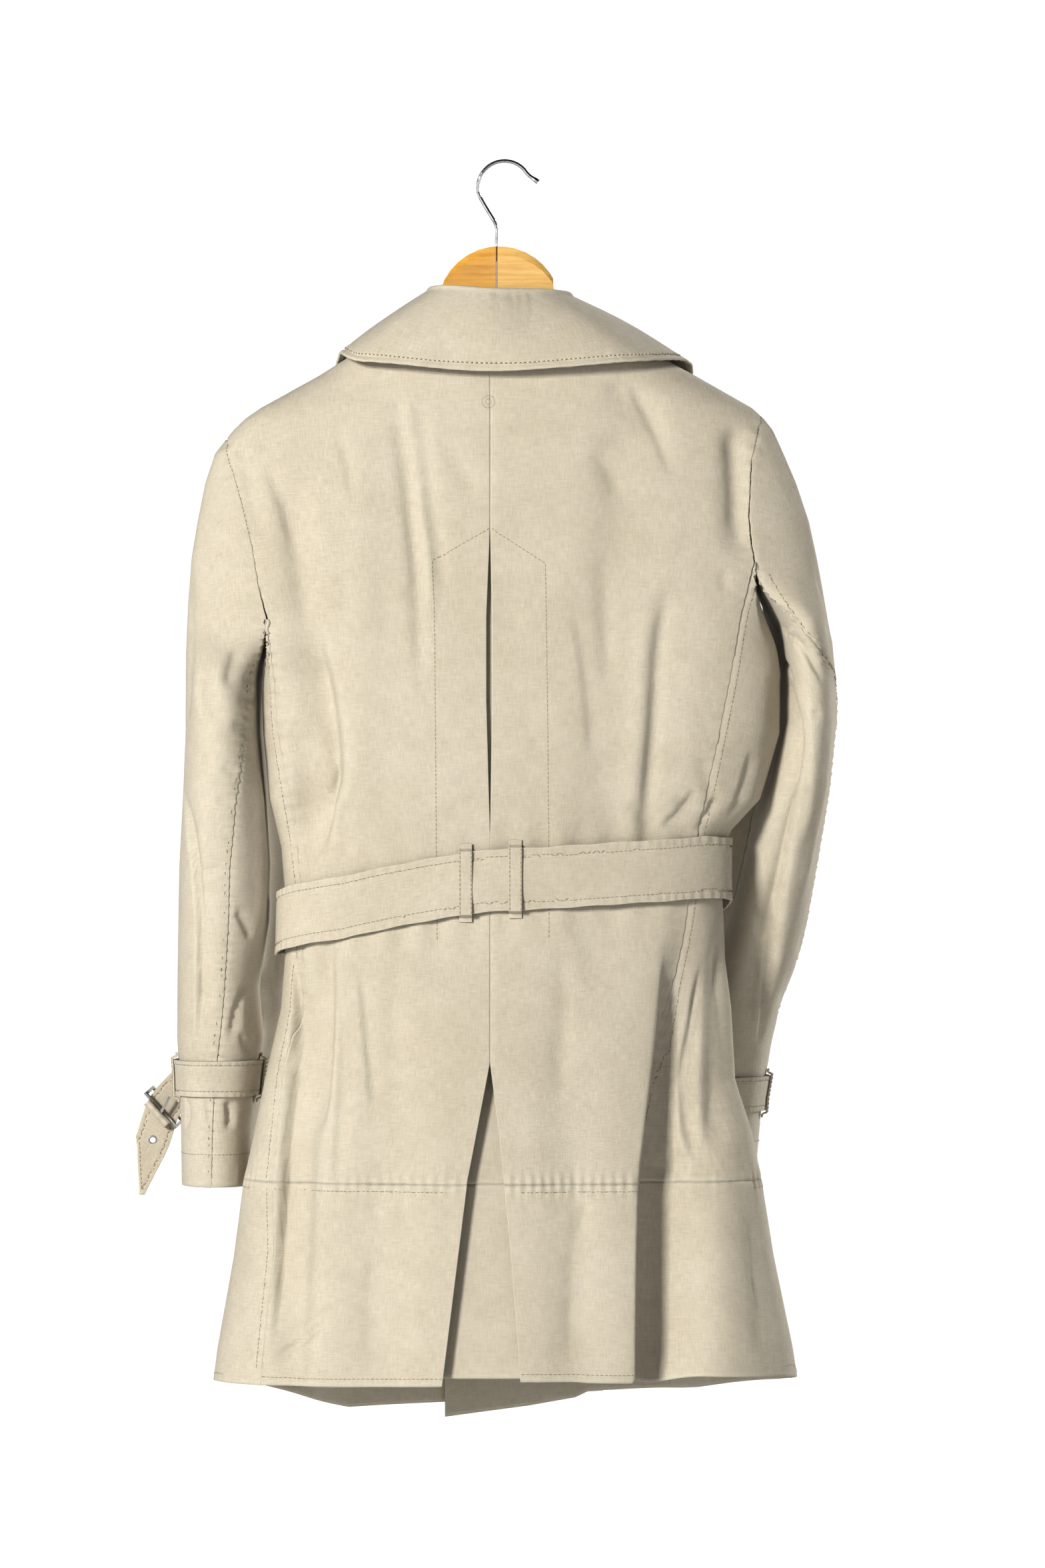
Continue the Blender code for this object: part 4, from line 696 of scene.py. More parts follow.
def pressed(points):
    """How far the creases and the seams draw the cloth in at each point."""
    total = np.zeros(len(points))
    for line, before, after, deep in CREASE_LINES:
        here = close_to(line, points, 3 * max(before, after))
        if here.any():
            gap, share, _, over = nearest(line, points[here])
            width = np.where(over > 0, after, before)
            total[here] += deep * smooth(share * 4) * smooth((1 - share) * 4) * np.exp(-(gap / width) ** 2)
    for line, pucker, pitch in SEAM_LINES:
        here = close_to(line, points, 3 * PUCKER_WIDTH)
        if here.any():
            gap, _, place, over = nearest(line, points[here])
            wave = np.sin(2 * math.pi * place / pitch + 1.7 * np.sin(place * 31) + 2.3 * np.sin(place * 11))
            total[here] += GROOVE * np.exp(-(gap / GROOVE_WIDTH) ** 2) * np.where(over > 0, 1, 0.15)
            total[here] += pucker * wave * np.exp(-(gap / PUCKER_WIDTH) ** 2)
    return total


CREASE_LINES = crease_lines()
SEAM_LINES = seam_lines()


# Shells

PANELS = []  # every finished piece of cloth and what it hangs from


def linked(name, data):
    obj = bpy.data.objects.new(name, data)
    bpy.context.scene.collection.objects.link(obj)
    return obj


def crossed(verts, quads):
    """A vector along each quad's normal, twice as long as its area."""
    return np.cross(verts[quads[:, 2]] - verts[quads[:, 0]], verts[quads[:, 3]] - verts[quads[:, 1]])


def beside_axis(points):
    """For each point, the point of the coat's vertical axis at its height."""
    target = np.array(points)
    target[..., :2] = CENTRE_X, 0
    return target


def wall(name, points, inside, thickness=CLOTH, clamp=None, closed=False, seams=None, press=None):
    """A closed thin shell: a grid of outer points (columns, rows) and the same moved in along its normals.

    A missing point is nan. seams holds the normals that a column shares with its neighbour, press says how
    far each point is drawn in and clamp mends the inner skin. The UV map holds distances on the cloth.
    """
    inside = np.broadcast_to(inside, points.shape)
    if closed:
        points = np.concatenate([points, points[:1]])
        inside = np.concatenate([inside, inside[:1]])
    steps_u = np.nan_to_num(np.linalg.norm(np.diff(points, axis=0), axis=-1))
    steps_v = np.nan_to_num(np.linalg.norm(np.diff(points, axis=1), axis=-1))
    u = np.median(np.cumsum(np.pad(steps_u, ((1, 0), (0, 0))), axis=0), axis=1, keepdims=True)
    v = np.cumsum(np.pad(steps_v, ((0, 0), (1, 0))), axis=1)
    there = ~np.isnan(points[..., 0])
    index = np.full(there.shape, -1)
    index[there] = np.arange(there.sum())
    verts = points[there]
    places = np.stack(np.broadcast_arrays(u, v), axis=-1)[there]
    corners = np.stack([index[:-1, :-1], index[1:, :-1], index[1:, 1:], index[:-1, 1:]], axis=-1)
    corners = corners.reshape(-1, 4)
    quads = corners[corners.min(axis=1) >= 0]

    def normals_of(verts):
        normals = np.zeros_like(verts)
        outward = crossed(verts, quads)
        for corner in range(4):
            np.add.at(normals, quads[:, corner], outward)
        normals = unit(normals)
        if closed:
            normals[index[0]] = normals[index[-1]] = unit(normals[index[0]] + normals[index[-1]])
        return normals

    normals = normals_of(verts)
    if np.sum(normals * (verts - inside[there])) < 0:
        quads = quads[:, ::-1]
        normals = -normals
    if press:
        verts = verts - normals * press(verts)[:, None]
        normals = normals_of(verts)
    for column, shared in (seams or {}).items():
        here = index[column][there[column]][:len(shared)]
        shared = shared[:len(here)]
        normals[here] = shared * np.sign(np.sum(shared * normals[here], axis=1))[:, None]
    inner = verts - normals * thickness
    obj = shell(name, verts, clamp(verts, inner) if clamp else inner, quads, places)
    obj["flat"] = (float(steps_u.sum(axis=0).max()), float(steps_v.sum(axis=1).max()))
    obj["area"] = float(np.linalg.norm(crossed(verts, quads), axis=1).sum() / 2)
    return obj


def shell(name, outer, inner, quads, places):
    """The two skins and the rim that joins them along their open edges."""
    count = len(outer)
    edges = np.concatenate([quads[:, [k, (k + 1) % 4]] for k in range(4)]).astype(np.int64)
    first, second = edges[~np.isin(edges @ (count, 1), edges @ (1, count))].T
    rim = np.stack([second, first, first + count, second + count], axis=1)
    faces = np.concatenate([quads, quads[:, ::-1] + count, rim])
    mesh = bpy.data.meshes.new(name)
    mesh.from_pydata(np.concatenate([outer, inner]).tolist(), [], faces.tolist())
    layer = mesh.uv_layers.new(name="cloth")
    uv = np.concatenate([places, places])[faces.reshape(-1)]
    layer.data.foreach_set("uv", uv.astype(np.float32).reshape(-1))
    mesh.shade_smooth()
    return linked(name + "_finish", mesh)


def panel(name, grid, hangs_from, inside=None, stands_for=True, **options):
    """A finished piece of cloth, in place of the CAD node of its name if it stands for one."""
    grid = np.asarray(grid)
    obj = wall(name, grid, beside_axis(grid) if inside is None else inside, **options)
    obj.data.materials.append(CLOTH_LOOK)
    if stands_for:
        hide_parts(name)
    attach(obj, "root")
    PANELS.append((obj, hangs_from))
    return obj


# Materials

def fill(node, values):
    """Each input of a node gets a number, a tuple, a colour or another node's output."""
    for key, value in values.items():
        socket = node.inputs[key]
        if isinstance(value, Output):
            node.id_data.links.new(value.socket, socket)
        else:
            socket.default_value = (*value, 1) if socket.type == "RGBA" else value


def make(tree, kind, values, output=0, **settings):
    """The output of a new shader node."""
    node = tree.nodes.new("ShaderNode" + kind)
    for name, value in settings.items():
        setattr(node, name, value)
    fill(node, values)
    return Output(tree, node.outputs[output])


class Output:
    """A node's output, with arithmetic that adds the nodes for it."""

    def __init__(self, tree, socket):
        self.tree = tree
        self.socket = socket

    def math(self, operation, other=0):
        return make(self.tree, "Math", {0: self, 1: other}, operation=operation)

    def __add__(self, other):
        return self.math("ADD", other)

    def __sub__(self, other):
        return self.math("SUBTRACT", other)

    def __mul__(self, other):
        return self.math("MULTIPLY", other)

    def __abs__(self):
        return self.math("ABSOLUTE")

    def axis(self, name):
        return make(self.tree, "SeparateXYZ", {0: self}, name)

    def to(self, low, high, first, second):
        """low..high mapped to first..second, held at the ends."""
        return make(self.tree, "MapRange", {0: self, 1: low, 2: high, 3: first, 4: second})

    def noise(self, scale, detail=2.0, distortion=0.0):
        """Noise over this coordinate, in periods per metre: one number, or three for X, Y and Z."""
        stretch = scale if isinstance(scale, tuple) else (1, 1, 1)
        mapped = make(self.tree, "Mapping", {"Vector": self, "Scale": stretch})
        values = {"Vector": mapped, "Scale": 1.0 if isinstance(scale, tuple) else scale, "Detail": detail}
        return make(self.tree, "TexNoise", {**values, "Distortion": distortion}, "Fac")

    def mix(self, first, second, blend="MIX"):
        """Two colours mixed by this share."""
        return make(self.tree, "Mix", {0: self, 6: first, 7: second}, 2, data_type="RGBA", blend_type=blend)

    def relief(self, strength, distance, under=None):
        values = {"Height": self, "Strength": strength, "Distance": distance}
        return make(self.tree, "Bump", {**values, "Normal": under} if under else values)


def material(name, values_of):
    """A material whose shader inputs come from values_of(tree, the coordinates of the piece)."""
    made = bpy.data.materials.new(name)
    made.use_nodes = True
    tree = made.node_tree
    fill(tree.nodes["Principled BSDF"], values_of(tree, make(tree, "TexCoord", {}, "Object")))
    return made


IMPRINT_X, IMPRINT_Z = -0.0122, -0.1890  # a small ring pressed into the centre back
IMPRINT_RADIUS = 0.0048


def imprint(place):
    """1 on the double ring pressed into the back below the collar, 0 elsewhere; cloth() presses it into the
    relief and darkens it with painted shade.
    """
    across, rise = place.axis("X") - IMPRINT_X, place.axis("Z") - IMPRINT_Z
    gap = (across * across + rise * rise).math("SQRT")
    rings = abs(gap - IMPRINT_RADIUS).math("MINIMUM", abs(gap - IMPRINT_RADIUS * 0.45))
    return rings.to(0, 0.0009, 1, 0) * place.axis("Y").math("LESS_THAN")


def cloth(tree, place):
    """Plain weave with slubs both ways, soft changes of tone, a little sheen, paler, worn edges and a small
    pressed ring darkened with painted shade.
    """
    sewn = make(tree, "UVMap", {}, uv_map="cloth")
    slubs = sewn.noise((110, 1150, 1), 2.0, 0.3) + sewn.noise((1150, 110, 1), 2.0, 0.3)
    waves = [(sewn.axis(axis) * (math.pi / THREAD_PITCH)).math("SINE") for axis in ("X", "Y")]
    threads = (waves[0] * waves[1]).to(-1, 1, 0, 1)
    tone = place.noise(7.0, 3.0) * 0.6 + place.noise(45.0, 3.0) * 0.4
    base = tone.to(0.38, 0.62, 0, 1).mix((0.470, 0.427, 0.348), (0.508, 0.467, 0.390))
    woven = slubs.to(0.72, 1.28, 0.90, 1.08) * threads.to(0, 1, 0.95, 1.04)
    base = make(tree, "Mix", {0: 1.0, 6: base, 7: woven}, 2, data_type="RGBA", blend_type="MULTIPLY")
    edge = make(tree, "NewGeometry", {}, "Pointiness").to(0.505, 0.56, 0, 0.35)
    base = edge.mix(base, (0.58, 0.55, 0.46))
    ring_press_and_shade = imprint(place)
    creased = abs(place.noise((34, 34, 22), 3.0, 0.2) - 0.5).relief(0.24, 0.0050)
    # The pressed ring darkens the base colour: painted shade in its groove.
    return {"Base Color": (ring_press_and_shade * 0.60).mix(base, (0.30, 0.26, 0.18)), "Roughness": 0.88,
            "Specular IOR Level": 0.25, "Sheen Weight": 0.18, "Sheen Roughness": 0.45,
            "Normal": (slubs * 0.7 + threads * 0.5 - ring_press_and_shade).relief(0.45, 0.0003, creased)}


def thread(dark, light):
    def values_of(_, place):
        twist = place.noise(900.0)
        return {"Base Color": twist.to(0.35, 0.65, 0, 1).mix(dark, light), "Roughness": 0.6,
                "Sheen Weight": 0.2, "Normal": twist.relief(0.4, 0.0001)}
    return values_of


def wood(dark, light):
    """Clear-lacquered wood: long grain along the arms, fine pores, scuffed edges and a dark joint."""
    def values_of(tree, place):
        grain = place.noise((9, 130, 260), 4.0, 0.6) * 0.75 + place.noise((90, 1400, 1600)) * 0.25
        base = grain.to(0.36, 0.64, 0, 1).mix(dark, light)
        edge = make(tree, "NewGeometry", {}, "Pointiness").to(0.52, 0.60, 0, 0.2)
        joint = abs(place.axis("X") - WOOD_JOINT_X).to(0.0003, 0.0009, 0.9, 0)
        return {"Base Color": joint.mix(edge.mix(base, (0.80, 0.56, 0.26)), (0.10, 0.035, 0.006)),
                "Roughness": place.noise(60.0, 3.0).to(0.3, 0.7, 0.22, 0.40), "Coat Weight": 0.35,
                "Coat Roughness": 0.12, "Normal": grain.relief(0.15, 0.0002)}
    return values_of


def metal(colour, rough, scratch):
    def values_of(_, place):
        fine = place.noise(420.0, 4.0)
        dark = tuple(part * 0.62 for part in colour)
        stained = place.noise(70.0, 3.0).to(0.40, 0.66, 0, 1).mix(colour, dark)
        return {"Base Color": stained, "Metallic": 1.0, "Normal": fine.relief(scratch, 0.00008),
                "Roughness": fine.to(0.3, 0.7, rough * 0.7, rough * 1.4)}
    return values_of


def horn(_, place):
    """Brown horn-like plastic with darker streaks."""
    streaks = place.noise((60, 60, 260), 4.0, 1.2)
    return {"Base Color": streaks.to(0.36, 0.64, 0, 1).mix((0.115, 0.072, 0.038), (0.33, 0.235, 0.13)),
            "Roughness": place.noise(300.0, 3.0).to(0.3, 0.7, 0.18, 0.34), "Coat Weight": 0.3,
            "Normal": streaks.relief(0.1, 0.0001)}


THREAD_PITCH = 0.00055  # of the weave
WOOD_JOINT_X = -0.0061  # where the hanger's two halves meet
CLOTH_LOOK = material("cloth_finish", cloth)
# The stitching thread has one real colour. The copy used on the body and for the buttons is darkened as
# painted shade of the sunk stitches, and the collar's copy is lightened as painted light.
THREAD_SHADED_LOOK = material("thread", thread((0.20, 0.165, 0.105), (0.36, 0.31, 0.21)))
THREAD_LIT_LOOK = material("thread_pale", thread((0.50, 0.45, 0.33), (0.66, 0.60, 0.46)))
STEEL_LOOK = material("steel_look", metal((0.34, 0.33, 0.32), 0.52, 0.03))
CHROME_LOOK = material("chrome_look", metal((0.60, 0.60, 0.61), 0.14, 0.03))
# The hanger's two halves are one wood. The left copy is darker as painted shade and the right copy lighter as
# painted light, for how each half is turned to the light.
WOOD_LEFT_SHADED = material("wood_left", wood((0.44, 0.21, 0.029), (0.64, 0.36, 0.060)))
WOOD_RIGHT_LIT = material("wood_right", wood((0.53, 0.32, 0.095), (0.70, 0.475, 0.175)))
BUTTON_LOOK = material("button_look", horn)
# Near-black pieces between the collar's stitches: painted shade in the needle holes.
NEEDLE_HOLE_SHADE_LOOK = material("needle_hole", thread((0.16, 0.13, 0.085), (0.22, 0.185, 0.125)))
# Near-black pieces set in the buttons' holes: painted shade.
HOLE_SHADE_LOOK = material("hole_dark", metal((0.02, 0.016, 0.012), 0.6, 0.1))


# Panels

GRAIN = 0.00272  # spacing of the finer grid
BESIDE_SEAM = np.array([0.0007, 0.0016])  # extra columns this far from a seam
BACK_LONG, BREAST_LONG = 0.19, 0.26  # about how wide the back and the front part of a front panel are


def steps(length):
    return max(int(round(length / GRAIN)), 2)


def finer(shares, length):
    """Even shares of a length with more of them beside both ends, where the seams are."""
    near = BESIDE_SEAM / length
    inner = [s for s in shares[1:-1] if 0.0028 / length < s < 1 - 0.0028 / length]
    return np.array([shares[0], *near, *inner, *(1 - near[::-1]), shares[-1]])


def column_heights(column_x, limit, low, armpit, rows):
    """Heights of a column: even up to the armpit, then closer and closer up to the panel's upper edge."""
    tries = np.linspace(armpit, -0.1, 1200)
    over = np.nonzero(tries >= limit(column_x(tries)))[0]
    top = tries[over[0] if len(over) else -1] - HALF_SEAM
    upper = top - (top - armpit) * (1 - np.linspace(0, 1, rows[1] + 1)[1:]) ** 1.6
    return np.concatenate([np.linspace(low, armpit, rows[0] + 1), upper])


def back_grid(side, low, high, rows):
    """Grid of a back panel, or of a band up to high, from the centre edge to the side seam."""
    grid = []
    for share in finer(np.linspace(0, 1, steps(BACK_LONG) + 1), BACK_LONG):
        def column_x(z, share=share):
            ease = 0.0009 * np.exp(-((z - ARMPIT_Z[side]) / 0.022) ** 2)
            return part_way(centre_x(side, z), seam_x(side, z) - side * ease, share)
        if high is None:
            z = column_heights(column_x, back_top, low, ARMPIT_Z[side], rows)
        else:
            z = np.linspace(hem_z(side, column_x(low), -HEM_TURN), high, rows[0] + 1)
        grid.append(on_face(-1, column_x(z), z))
    return np.array(grid)


def front_grid(side, low, high, rows):
    """Grid of a front panel from the side-back seam round to the free edge, up to the shoulder or to high."""
    strip_long = 0.02 if side < 0 else 0.07
    strip, flank, breast = steps(strip_long), steps(0.12), steps(BREAST_LONG)
    parts = [("back", s) for s in finer(np.arange(strip + 1) / strip, strip_long)[:-3]]
    parts += [("side", s) for s in np.arange(flank) / flank]
    parts += [("front", s) for s in np.arange(breast + 1) / breast]
    parts[-1:-1] = [("front", 1 - BESIDE_SEAM[0] / BREAST_LONG)]
    grid = []
    for part, share in parts:
        def column(z, part=part, share=share):
            return front_column(side, part, share, z)
        if high is not None:
            x, y, _ = column(np.array([low]))[0]
            points = column(np.linspace(hem_z(side, x, y), high, rows[0] + 1))
        elif part == "front":
            z = column_heights(lambda z: column(z)[:, 0], ridge_z, low, ARMPIT_Z[side], rows)
            points = column(z)
        else:
            points = column(np.linspace(low, ARMPIT_Z[side], rows[0] + 1))
            points[-1, 2] -= HALF_SEAM
            points = np.concatenate([points, np.full((rows[1], 3), np.nan)])
        grid.append(points)
    return np.array(grid)


def keep_to_face(face):
    """Keeps the inner skin on its own side of the middle plane, along the shoulder line."""
    def clamp(outer, inner):
        wrong = (outer[:, 2] > -0.24) & (inner[:, 1] * face < HALF_SEAM)
        inner[wrong, 1] = face * HALF_SEAM
        return inner
    return clamp


def seam_normals(before, after, along):
    """Normals at a seam, from the columns on either side of it."""
    return unit(np.cross(after - before, np.gradient(along, axis=0)))


def side_back_normals(side, z):
    """Normals along the side-back seam, shared by the back and the front panel."""
    x = seam_x(side, z)
    before, after = on_face(-1, x - side * 0.004, z), front_column(side, "side", 0.03, z)
    return seam_normals(before, after, on_face(-1, x, z))


def body_panels():
    """Backs and fronts, each with its hem band."""
    for face, grid_of, seam, band_rows in ((-1, back_grid, -1, steps(0.15)), (1, front_grid, 0, steps(0.17))):
        for side, label in SIDES:
            name = FACES[face] + "_" + label
            rows = (steps(0.44), steps(0.20))
            grid = grid_of(side, BAND_Z + HALF_SEAM, None, rows)
            shared = side_back_normals(side, grid[seam, :rows[0] + 1, 2])
            panel(name, grid, ["hanger_" + label], clamp=keep_to_face(face), seams={seam: shared},
                  press=pressed)
            band = grid_of(side, HEM_BACK_Z, BAND_Z - HALF_SEAM, (band_rows, 0))
            shared = side_back_normals(side, band[seam, :, 2])
            panel("band_" + name, band, [name + "_finish"], seams={seam: shared}, press=pressed)


def sleeves():
    for side, label in SIDES:
        cuff, armpit = SLEEVE[side]["z"][0], ARMPIT_Z[side]
        tip = ridge_z(CENTRE_X + side * (armhole_offset(side, SHOULDER_SEAM_Z) + 0.0012)) - 0.0005
        lower = np.linspace(cuff, armpit, steps(armpit - cuff) + 1)
        z = np.concatenate([lower, np.linspace(armpit, tip, steps(tip - armpit) + 1)[1:]])
        shares = finer(np.linspace(0.0005, 0.9995, steps(0.22)), 0.22)
        grid = np.array([sleeve_point(side, share, z) for share in shares])
        middle = np.repeat([(grid.min(axis=0) + grid.max(axis=0)) / 2], len(grid), axis=0)
        middle[:, len(lower):, 0] = CENTRE_X
        shared = {}
        for column, edge, before, after in ((0, 0, 0.04, 0.06), (-1, 1, 0.96, 0.94)):
            shared[column] = seam_normals(sleeve_point(side, before, lower),
                                          sleeve_point(side, after, lower, under=True),
                                          sleeve_point(side, edge, lower))
        panel("top_sleeve_" + label, grid, ["hanger_" + label], middle, seams=shared, press=pressed)
        shares = finer(np.linspace(0, 1, steps(0.14)), 0.14)
        grid = np.array([sleeve_point(side, share, lower, under=True) for share in shares])
        grid[:, -1, 2] -= HALF_SEAM * 2
        panel("under_sleeve_" + label, grid, ["top_sleeve_%s_finish" % label], sleeve_ring(side, 90, lower),
              seams=shared, press=pressed)


def underlays():
    """The strips behind the centre back, close at their sides and hollow in the middle."""
    strips = (("back_pleat_underlay", *PLEAT, 0.038, 0.022, 0.0030, "back_left_finish"),
              ("kick_pleat_underlay", BAND_Z + HALF_SEAM, VENT_TOP_Z - 0.004, 0.052, 0.030, 0.0090,
               "back_left_finish"),
              ("band_kick_pleat_underlay", HEM_BACK_Z + 0.004, BAND_Z - HALF_SEAM, 0.072, 0.052, 0.0090,
               "kick_pleat_underlay_finish"))
    for name, low, high, half_low, half_high, hollow, carrier in strips:
        z = np.linspace(low, high, steps(high - low))
        middle = CENTRE_X + np.interp(z, [HEM_BACK_Z, VENT_TOP_Z], [-0.008, 0.0])
        half = np.interp(z, [low, high], [half_low, half_high])
        grid = [on_face(-1, middle + share * half, z, -CLOTH - 0.0007 - hollow * (1 - share ** 4))
                for share in np.linspace(-1, 1, 7)]
        panel(name, grid, [carrier], press=pressed)


SEWING = []  # (finished piece, line, outward directions)
GOES_WITH = {}  # finished piece to the pieces on it


def sew(obj, path, outward):
    path = np.asarray(path)
    SEWING.append((obj, path, np.broadcast_to(outward, path.shape)))


# Collar and lapels

STITCH_IN = 0.0047  # the collar's stitch line, from its edge
COLLAR_SHARES = np.concatenate([np.linspace(0.04, 0.88, 22), [0.905, 0.92, 0.933, 0.946, 0.965, 0.985, 1]])
UP = np.array([0, 0, 1.0])


def collar_sink(x, station, share, long):
    """How far the fall is drawn in: by the stitch line, the creases at its top, slow waves and puckers."""
    down = share * long
    sink = 0.0010 * math.exp(-((long - down - STITCH_IN) / 0.0011) ** 2)
    sink += sum(deep * math.exp(-((x - middle) / width) ** 2) * math.exp(-down / 0.012)
                for middle, width, deep in TOP_WRINKLES)
    sink += 0.0006 * math.sin(station * 2.9 + share * 2.0) * math.sin(share * math.pi)
    sink += 0.0005 * math.sin(station * 7.3 + 1.3 * math.sin(share * 5)) * share
    return sink + (0.00030 * math.sin(station * 46 + 2 * math.sin(station * 9)) if share > 0.9 else 0)


def collar():
    """The stand, the turn at its top and the fall."""
    count = 201
    stations = np.linspace(0, len(COLLAR) - 1, count)
    bulges = np.interp(stations, np.arange(len(COLLAR)), COLLAR[:, 9])
    line = spline(COLLAR[:, :9], count)
    grid, seam, lifts = [], [], []
    for station, bulge, neck, fold, edge in zip(stations, bulges, line[:, :3], line[:, 3:6], line[:, 6:]):
        out = unit((edge - fold) * (1, 1, 0))
        profile = [part_way(neck, fold, share) for share in (0, .2, .4, .6, .8)]
        for swing in np.radians(range(0, 181, 18)):
            profile.append(fold + FOLD_RADIUS * (out * (1 - math.cos(swing)) + UP * math.sin(swing)))
        start = profile[-1]
        lift = unit(np.cross(edge - start, np.cross(UP, out)))
        lift = lift if lift @ out > 0 else -lift
        long = np.linalg.norm(edge - start)
        for share in COLLAR_SHARES:
            point = part_way(start, edge, share) + lift * bulge * math.sin(share * math.pi)
            profile.append(point - lift * collar_sink(point[0], station, share, long))
        grid.append(profile)
        seam.append(part_way(start, edge, 1 - STITCH_IN / long))
        lifts.append(lift)
    inside = ((line[:, 3:6] + line[:, 6:]) / 2 - UP * 0.05)[:, None]
    sew(panel("collar", grid, ["hanger_left", "hanger_right"], inside, thickness=HEAVY * 0.9), seam, lifts)


def lapels():
    for side, label in SIDES:
        z = np.linspace(BREAK_Z + 0.002, -0.217, 48)
        width = LAPEL("width", z)
        grid = []
        for share in np.linspace(0, 1, 26):
            slanted = z - share * width * 0.10
            x = free_edge_x(side, z) + side * width * share
            lift = LAPEL("lift", z) + 0.0012 * np.exp(-(share / 0.12) ** 2)
            y = depth(1, x, slanted) - overlap(side, x, z) + lift
            grid.append(folded(x, y, slanted))
        grid = np.array(grid)
        obj = panel("lapel_" + label, grid, ["front_%s_finish" % label])
        for column in (grid[-3], grid[::-1, -3]):
            sew(obj, column, (0.0, 1, 0))


# Belt, loops and cuffs

BELT_STITCH, STRAP_STITCH = 0.73, 0.74  # the stitch lines, as a share of the half width
HALF_BAND = (1, .97, .92, .86, .80, .765, .74, .715, .68, .6, .45, .25)
BAND_SHARES = (*(-share for share in HALF_BAND), 0, *HALF_BAND[::-1])
BACKWARD = np.array([0, -1.0, 0])


def puckered(share, place, stitch, size):
    """How far a stitched band is drawn in: along its stitch lines, and in small waves along its edges."""
    wave = np.sin(place * 820 + 2.1 * np.sin(place * 97) + 1.4 * np.sin(place * 41 + share))
    edge = smooth((abs(share) - stitch + 0.10) / 0.25)
    return size * (0.0004 * np.exp(-((abs(share) - stitch) / 0.035) ** 2) + 0.00035 * wave * edge)


def belt():
    last = BELT_START - 360 - BELT_LAP
    grid, place, previous = [], 0.0, None
    sewn = {-1: [], 1: []}
    for angle in np.linspace(BELT_START, last, 440):
        gap = BELT_GAP + HEAVY + BELT_STEP * smooth((BELT_START - 330 - angle) / 14)
        centre = BELT_LINE("z", angle if angle > -180 else angle + 360)
        half = (1 - 0.75 * smooth((last + 10 - angle) / 10)) * BELT_WIDTH / 2
        middle = waist_at(angle, centre, centre, gap)
        place += 0 if previous is None else np.linalg.norm(middle - previous)
        previous = middle
        row = []
        for share in BAND_SHARES:
            z = centre + share * half + 0.0003 * share ** 3 * math.sin(place * 170)
            sink = puckered(share, place, BELT_STITCH, 1.0) + 0.0007 * math.sin(place * 42 + share * 0.8)
            row.append(waist_at(angle, centre, z, gap - sink))
        grid.append(row)
        for side, line in sewn.items():
            line.append(waist_at(angle, centre, centre + side * BELT_STITCH * half, gap))
    obj = panel("belt", grid, ["belt_loop_left_finish", "belt_loop_right_finish"], thickness=HEAVY * 0.9)
    for line in map(np.array, sewn.values()):
        sew(obj, line, unit(line - beside_axis(line)))


def loop(name, foot, across, out, half_length, gap, width, hangs_from):
    """A narrow strip over what it holds, its ends sewn down, with a stitch line along each edge."""
    ends = np.linspace(0.78, 1, 14)
    reaches = np.concatenate([-ends[::-1], np.linspace(-0.74, 0.74, 22), ends])
    grid = []
    for share in (-.5, -.46, -.38, -.30, -.15, 0, .15, .30, .38, .46, .5):
        row = []
        for reach in reaches:
            point, normal = foot(reach * half_length)
            height = part_way(0.0021, gap, smooth((0.90 - abs(reach)) / 0.10))
            height -= 0.00018 * math.exp(-((abs(share) - 0.36) / 0.05) ** 2)
            row.append(point + across * share * width + normal * height)
        grid.append(row)
    grid = np.array(grid)
    obj = panel(name, grid, [hangs_from], grid - out * 0.05)
    for column in (2, -3):
        sew(obj, grid[column][1:-1], out)


def belt_loops():
    for label, x, middle in (("left", -0.0300, -0.5610), ("right", 0.0085, -0.5580)):
        def foot(rise, x=x, middle=middle):
            return on_face(-1, [x], [middle + rise])[0], BACKWARD
        loop("belt_loop_" + label, foot, np.array([1.0, 0, 0]), BACKWARD, 0.0300, 0.0102, LOOP_WIDTH,
             "back_%s_finish" % label)


def cuff_straps():
    for side, label in SIDES:
        middle, carrier = STRAP_Z[side], "top_sleeve_%s_finish" % label
        angles = np.arange(180, 540, 2.5)
        grid = []
        for angle in angles:
            wave = 0.0005 * math.sin(angle * 0.11)
            grid.append([strap_point(side, angle, middle + share * STRAP_WIDTH / 2, STRAP_GAP + HEAVY - wave
                                     - puckered(share, angle * 0.0008, STRAP_STITCH, 0.9))[0]
                         for share in BAND_SHARES])
        obj = panel("cuff_strap_" + label, grid, [carrier], np.mean(grid, axis=0),
                    thickness=HEAVY * 0.9, closed=True)
        outward = [strap_point(side, angle, middle, 0)[1] for angle in angles]
        for edge in (-1, 1):
            z = middle + edge * STRAP_STITCH * STRAP_WIDTH / 2
            sew(obj, [strap_point(side, angle, z, STRAP_GAP + HEAVY)[0] for angle in angles], outward)
        for place, angle in (("outer", 78), ("inner", -78)):
            before, after = (strap_point(side, angle + turn, middle, 0)[0] for turn in (-4, 4))

            def foot(rise, side=side, angle=angle, middle=middle):
                return strap_point(side, angle, middle + rise, 0)
            loop("cuff_loop_%s_%s" % (label, place), foot, unit(after - before), foot(0)[1], 0.0195, 0.0056,
                 CUFF_LOOP_WIDTH, carrier)


EYELET_HOLE, EYELET_RIM = 0.00225, 0.0037  # radius of the hole and of the metal round it
TAIL_LINE = spline(TAIL, 121)
TAIL_HOLE_AT = length_along(TAIL_LINE)[TAIL_HOLE * 24]
TAIL_ACROSS = unit(np.cross(unit(np.gradient(TAIL_LINE, axis=0)), BACKWARD))


def tail_point(share, distance, sink=0.0):
    """Points of the cuff's tail at a share of its half width and a distance from its start."""
    length = length_along(TAIL_LINE)
    points = TAIL_LINE + TAIL_ACROSS * share * STRAP_WIDTH / 2
    found = [np.interp(distance, length, points[:, axis]) for axis in range(3)]
    return np.stack(found, axis=-1) - BACKWARD * np.asarray(sink)[..., None]


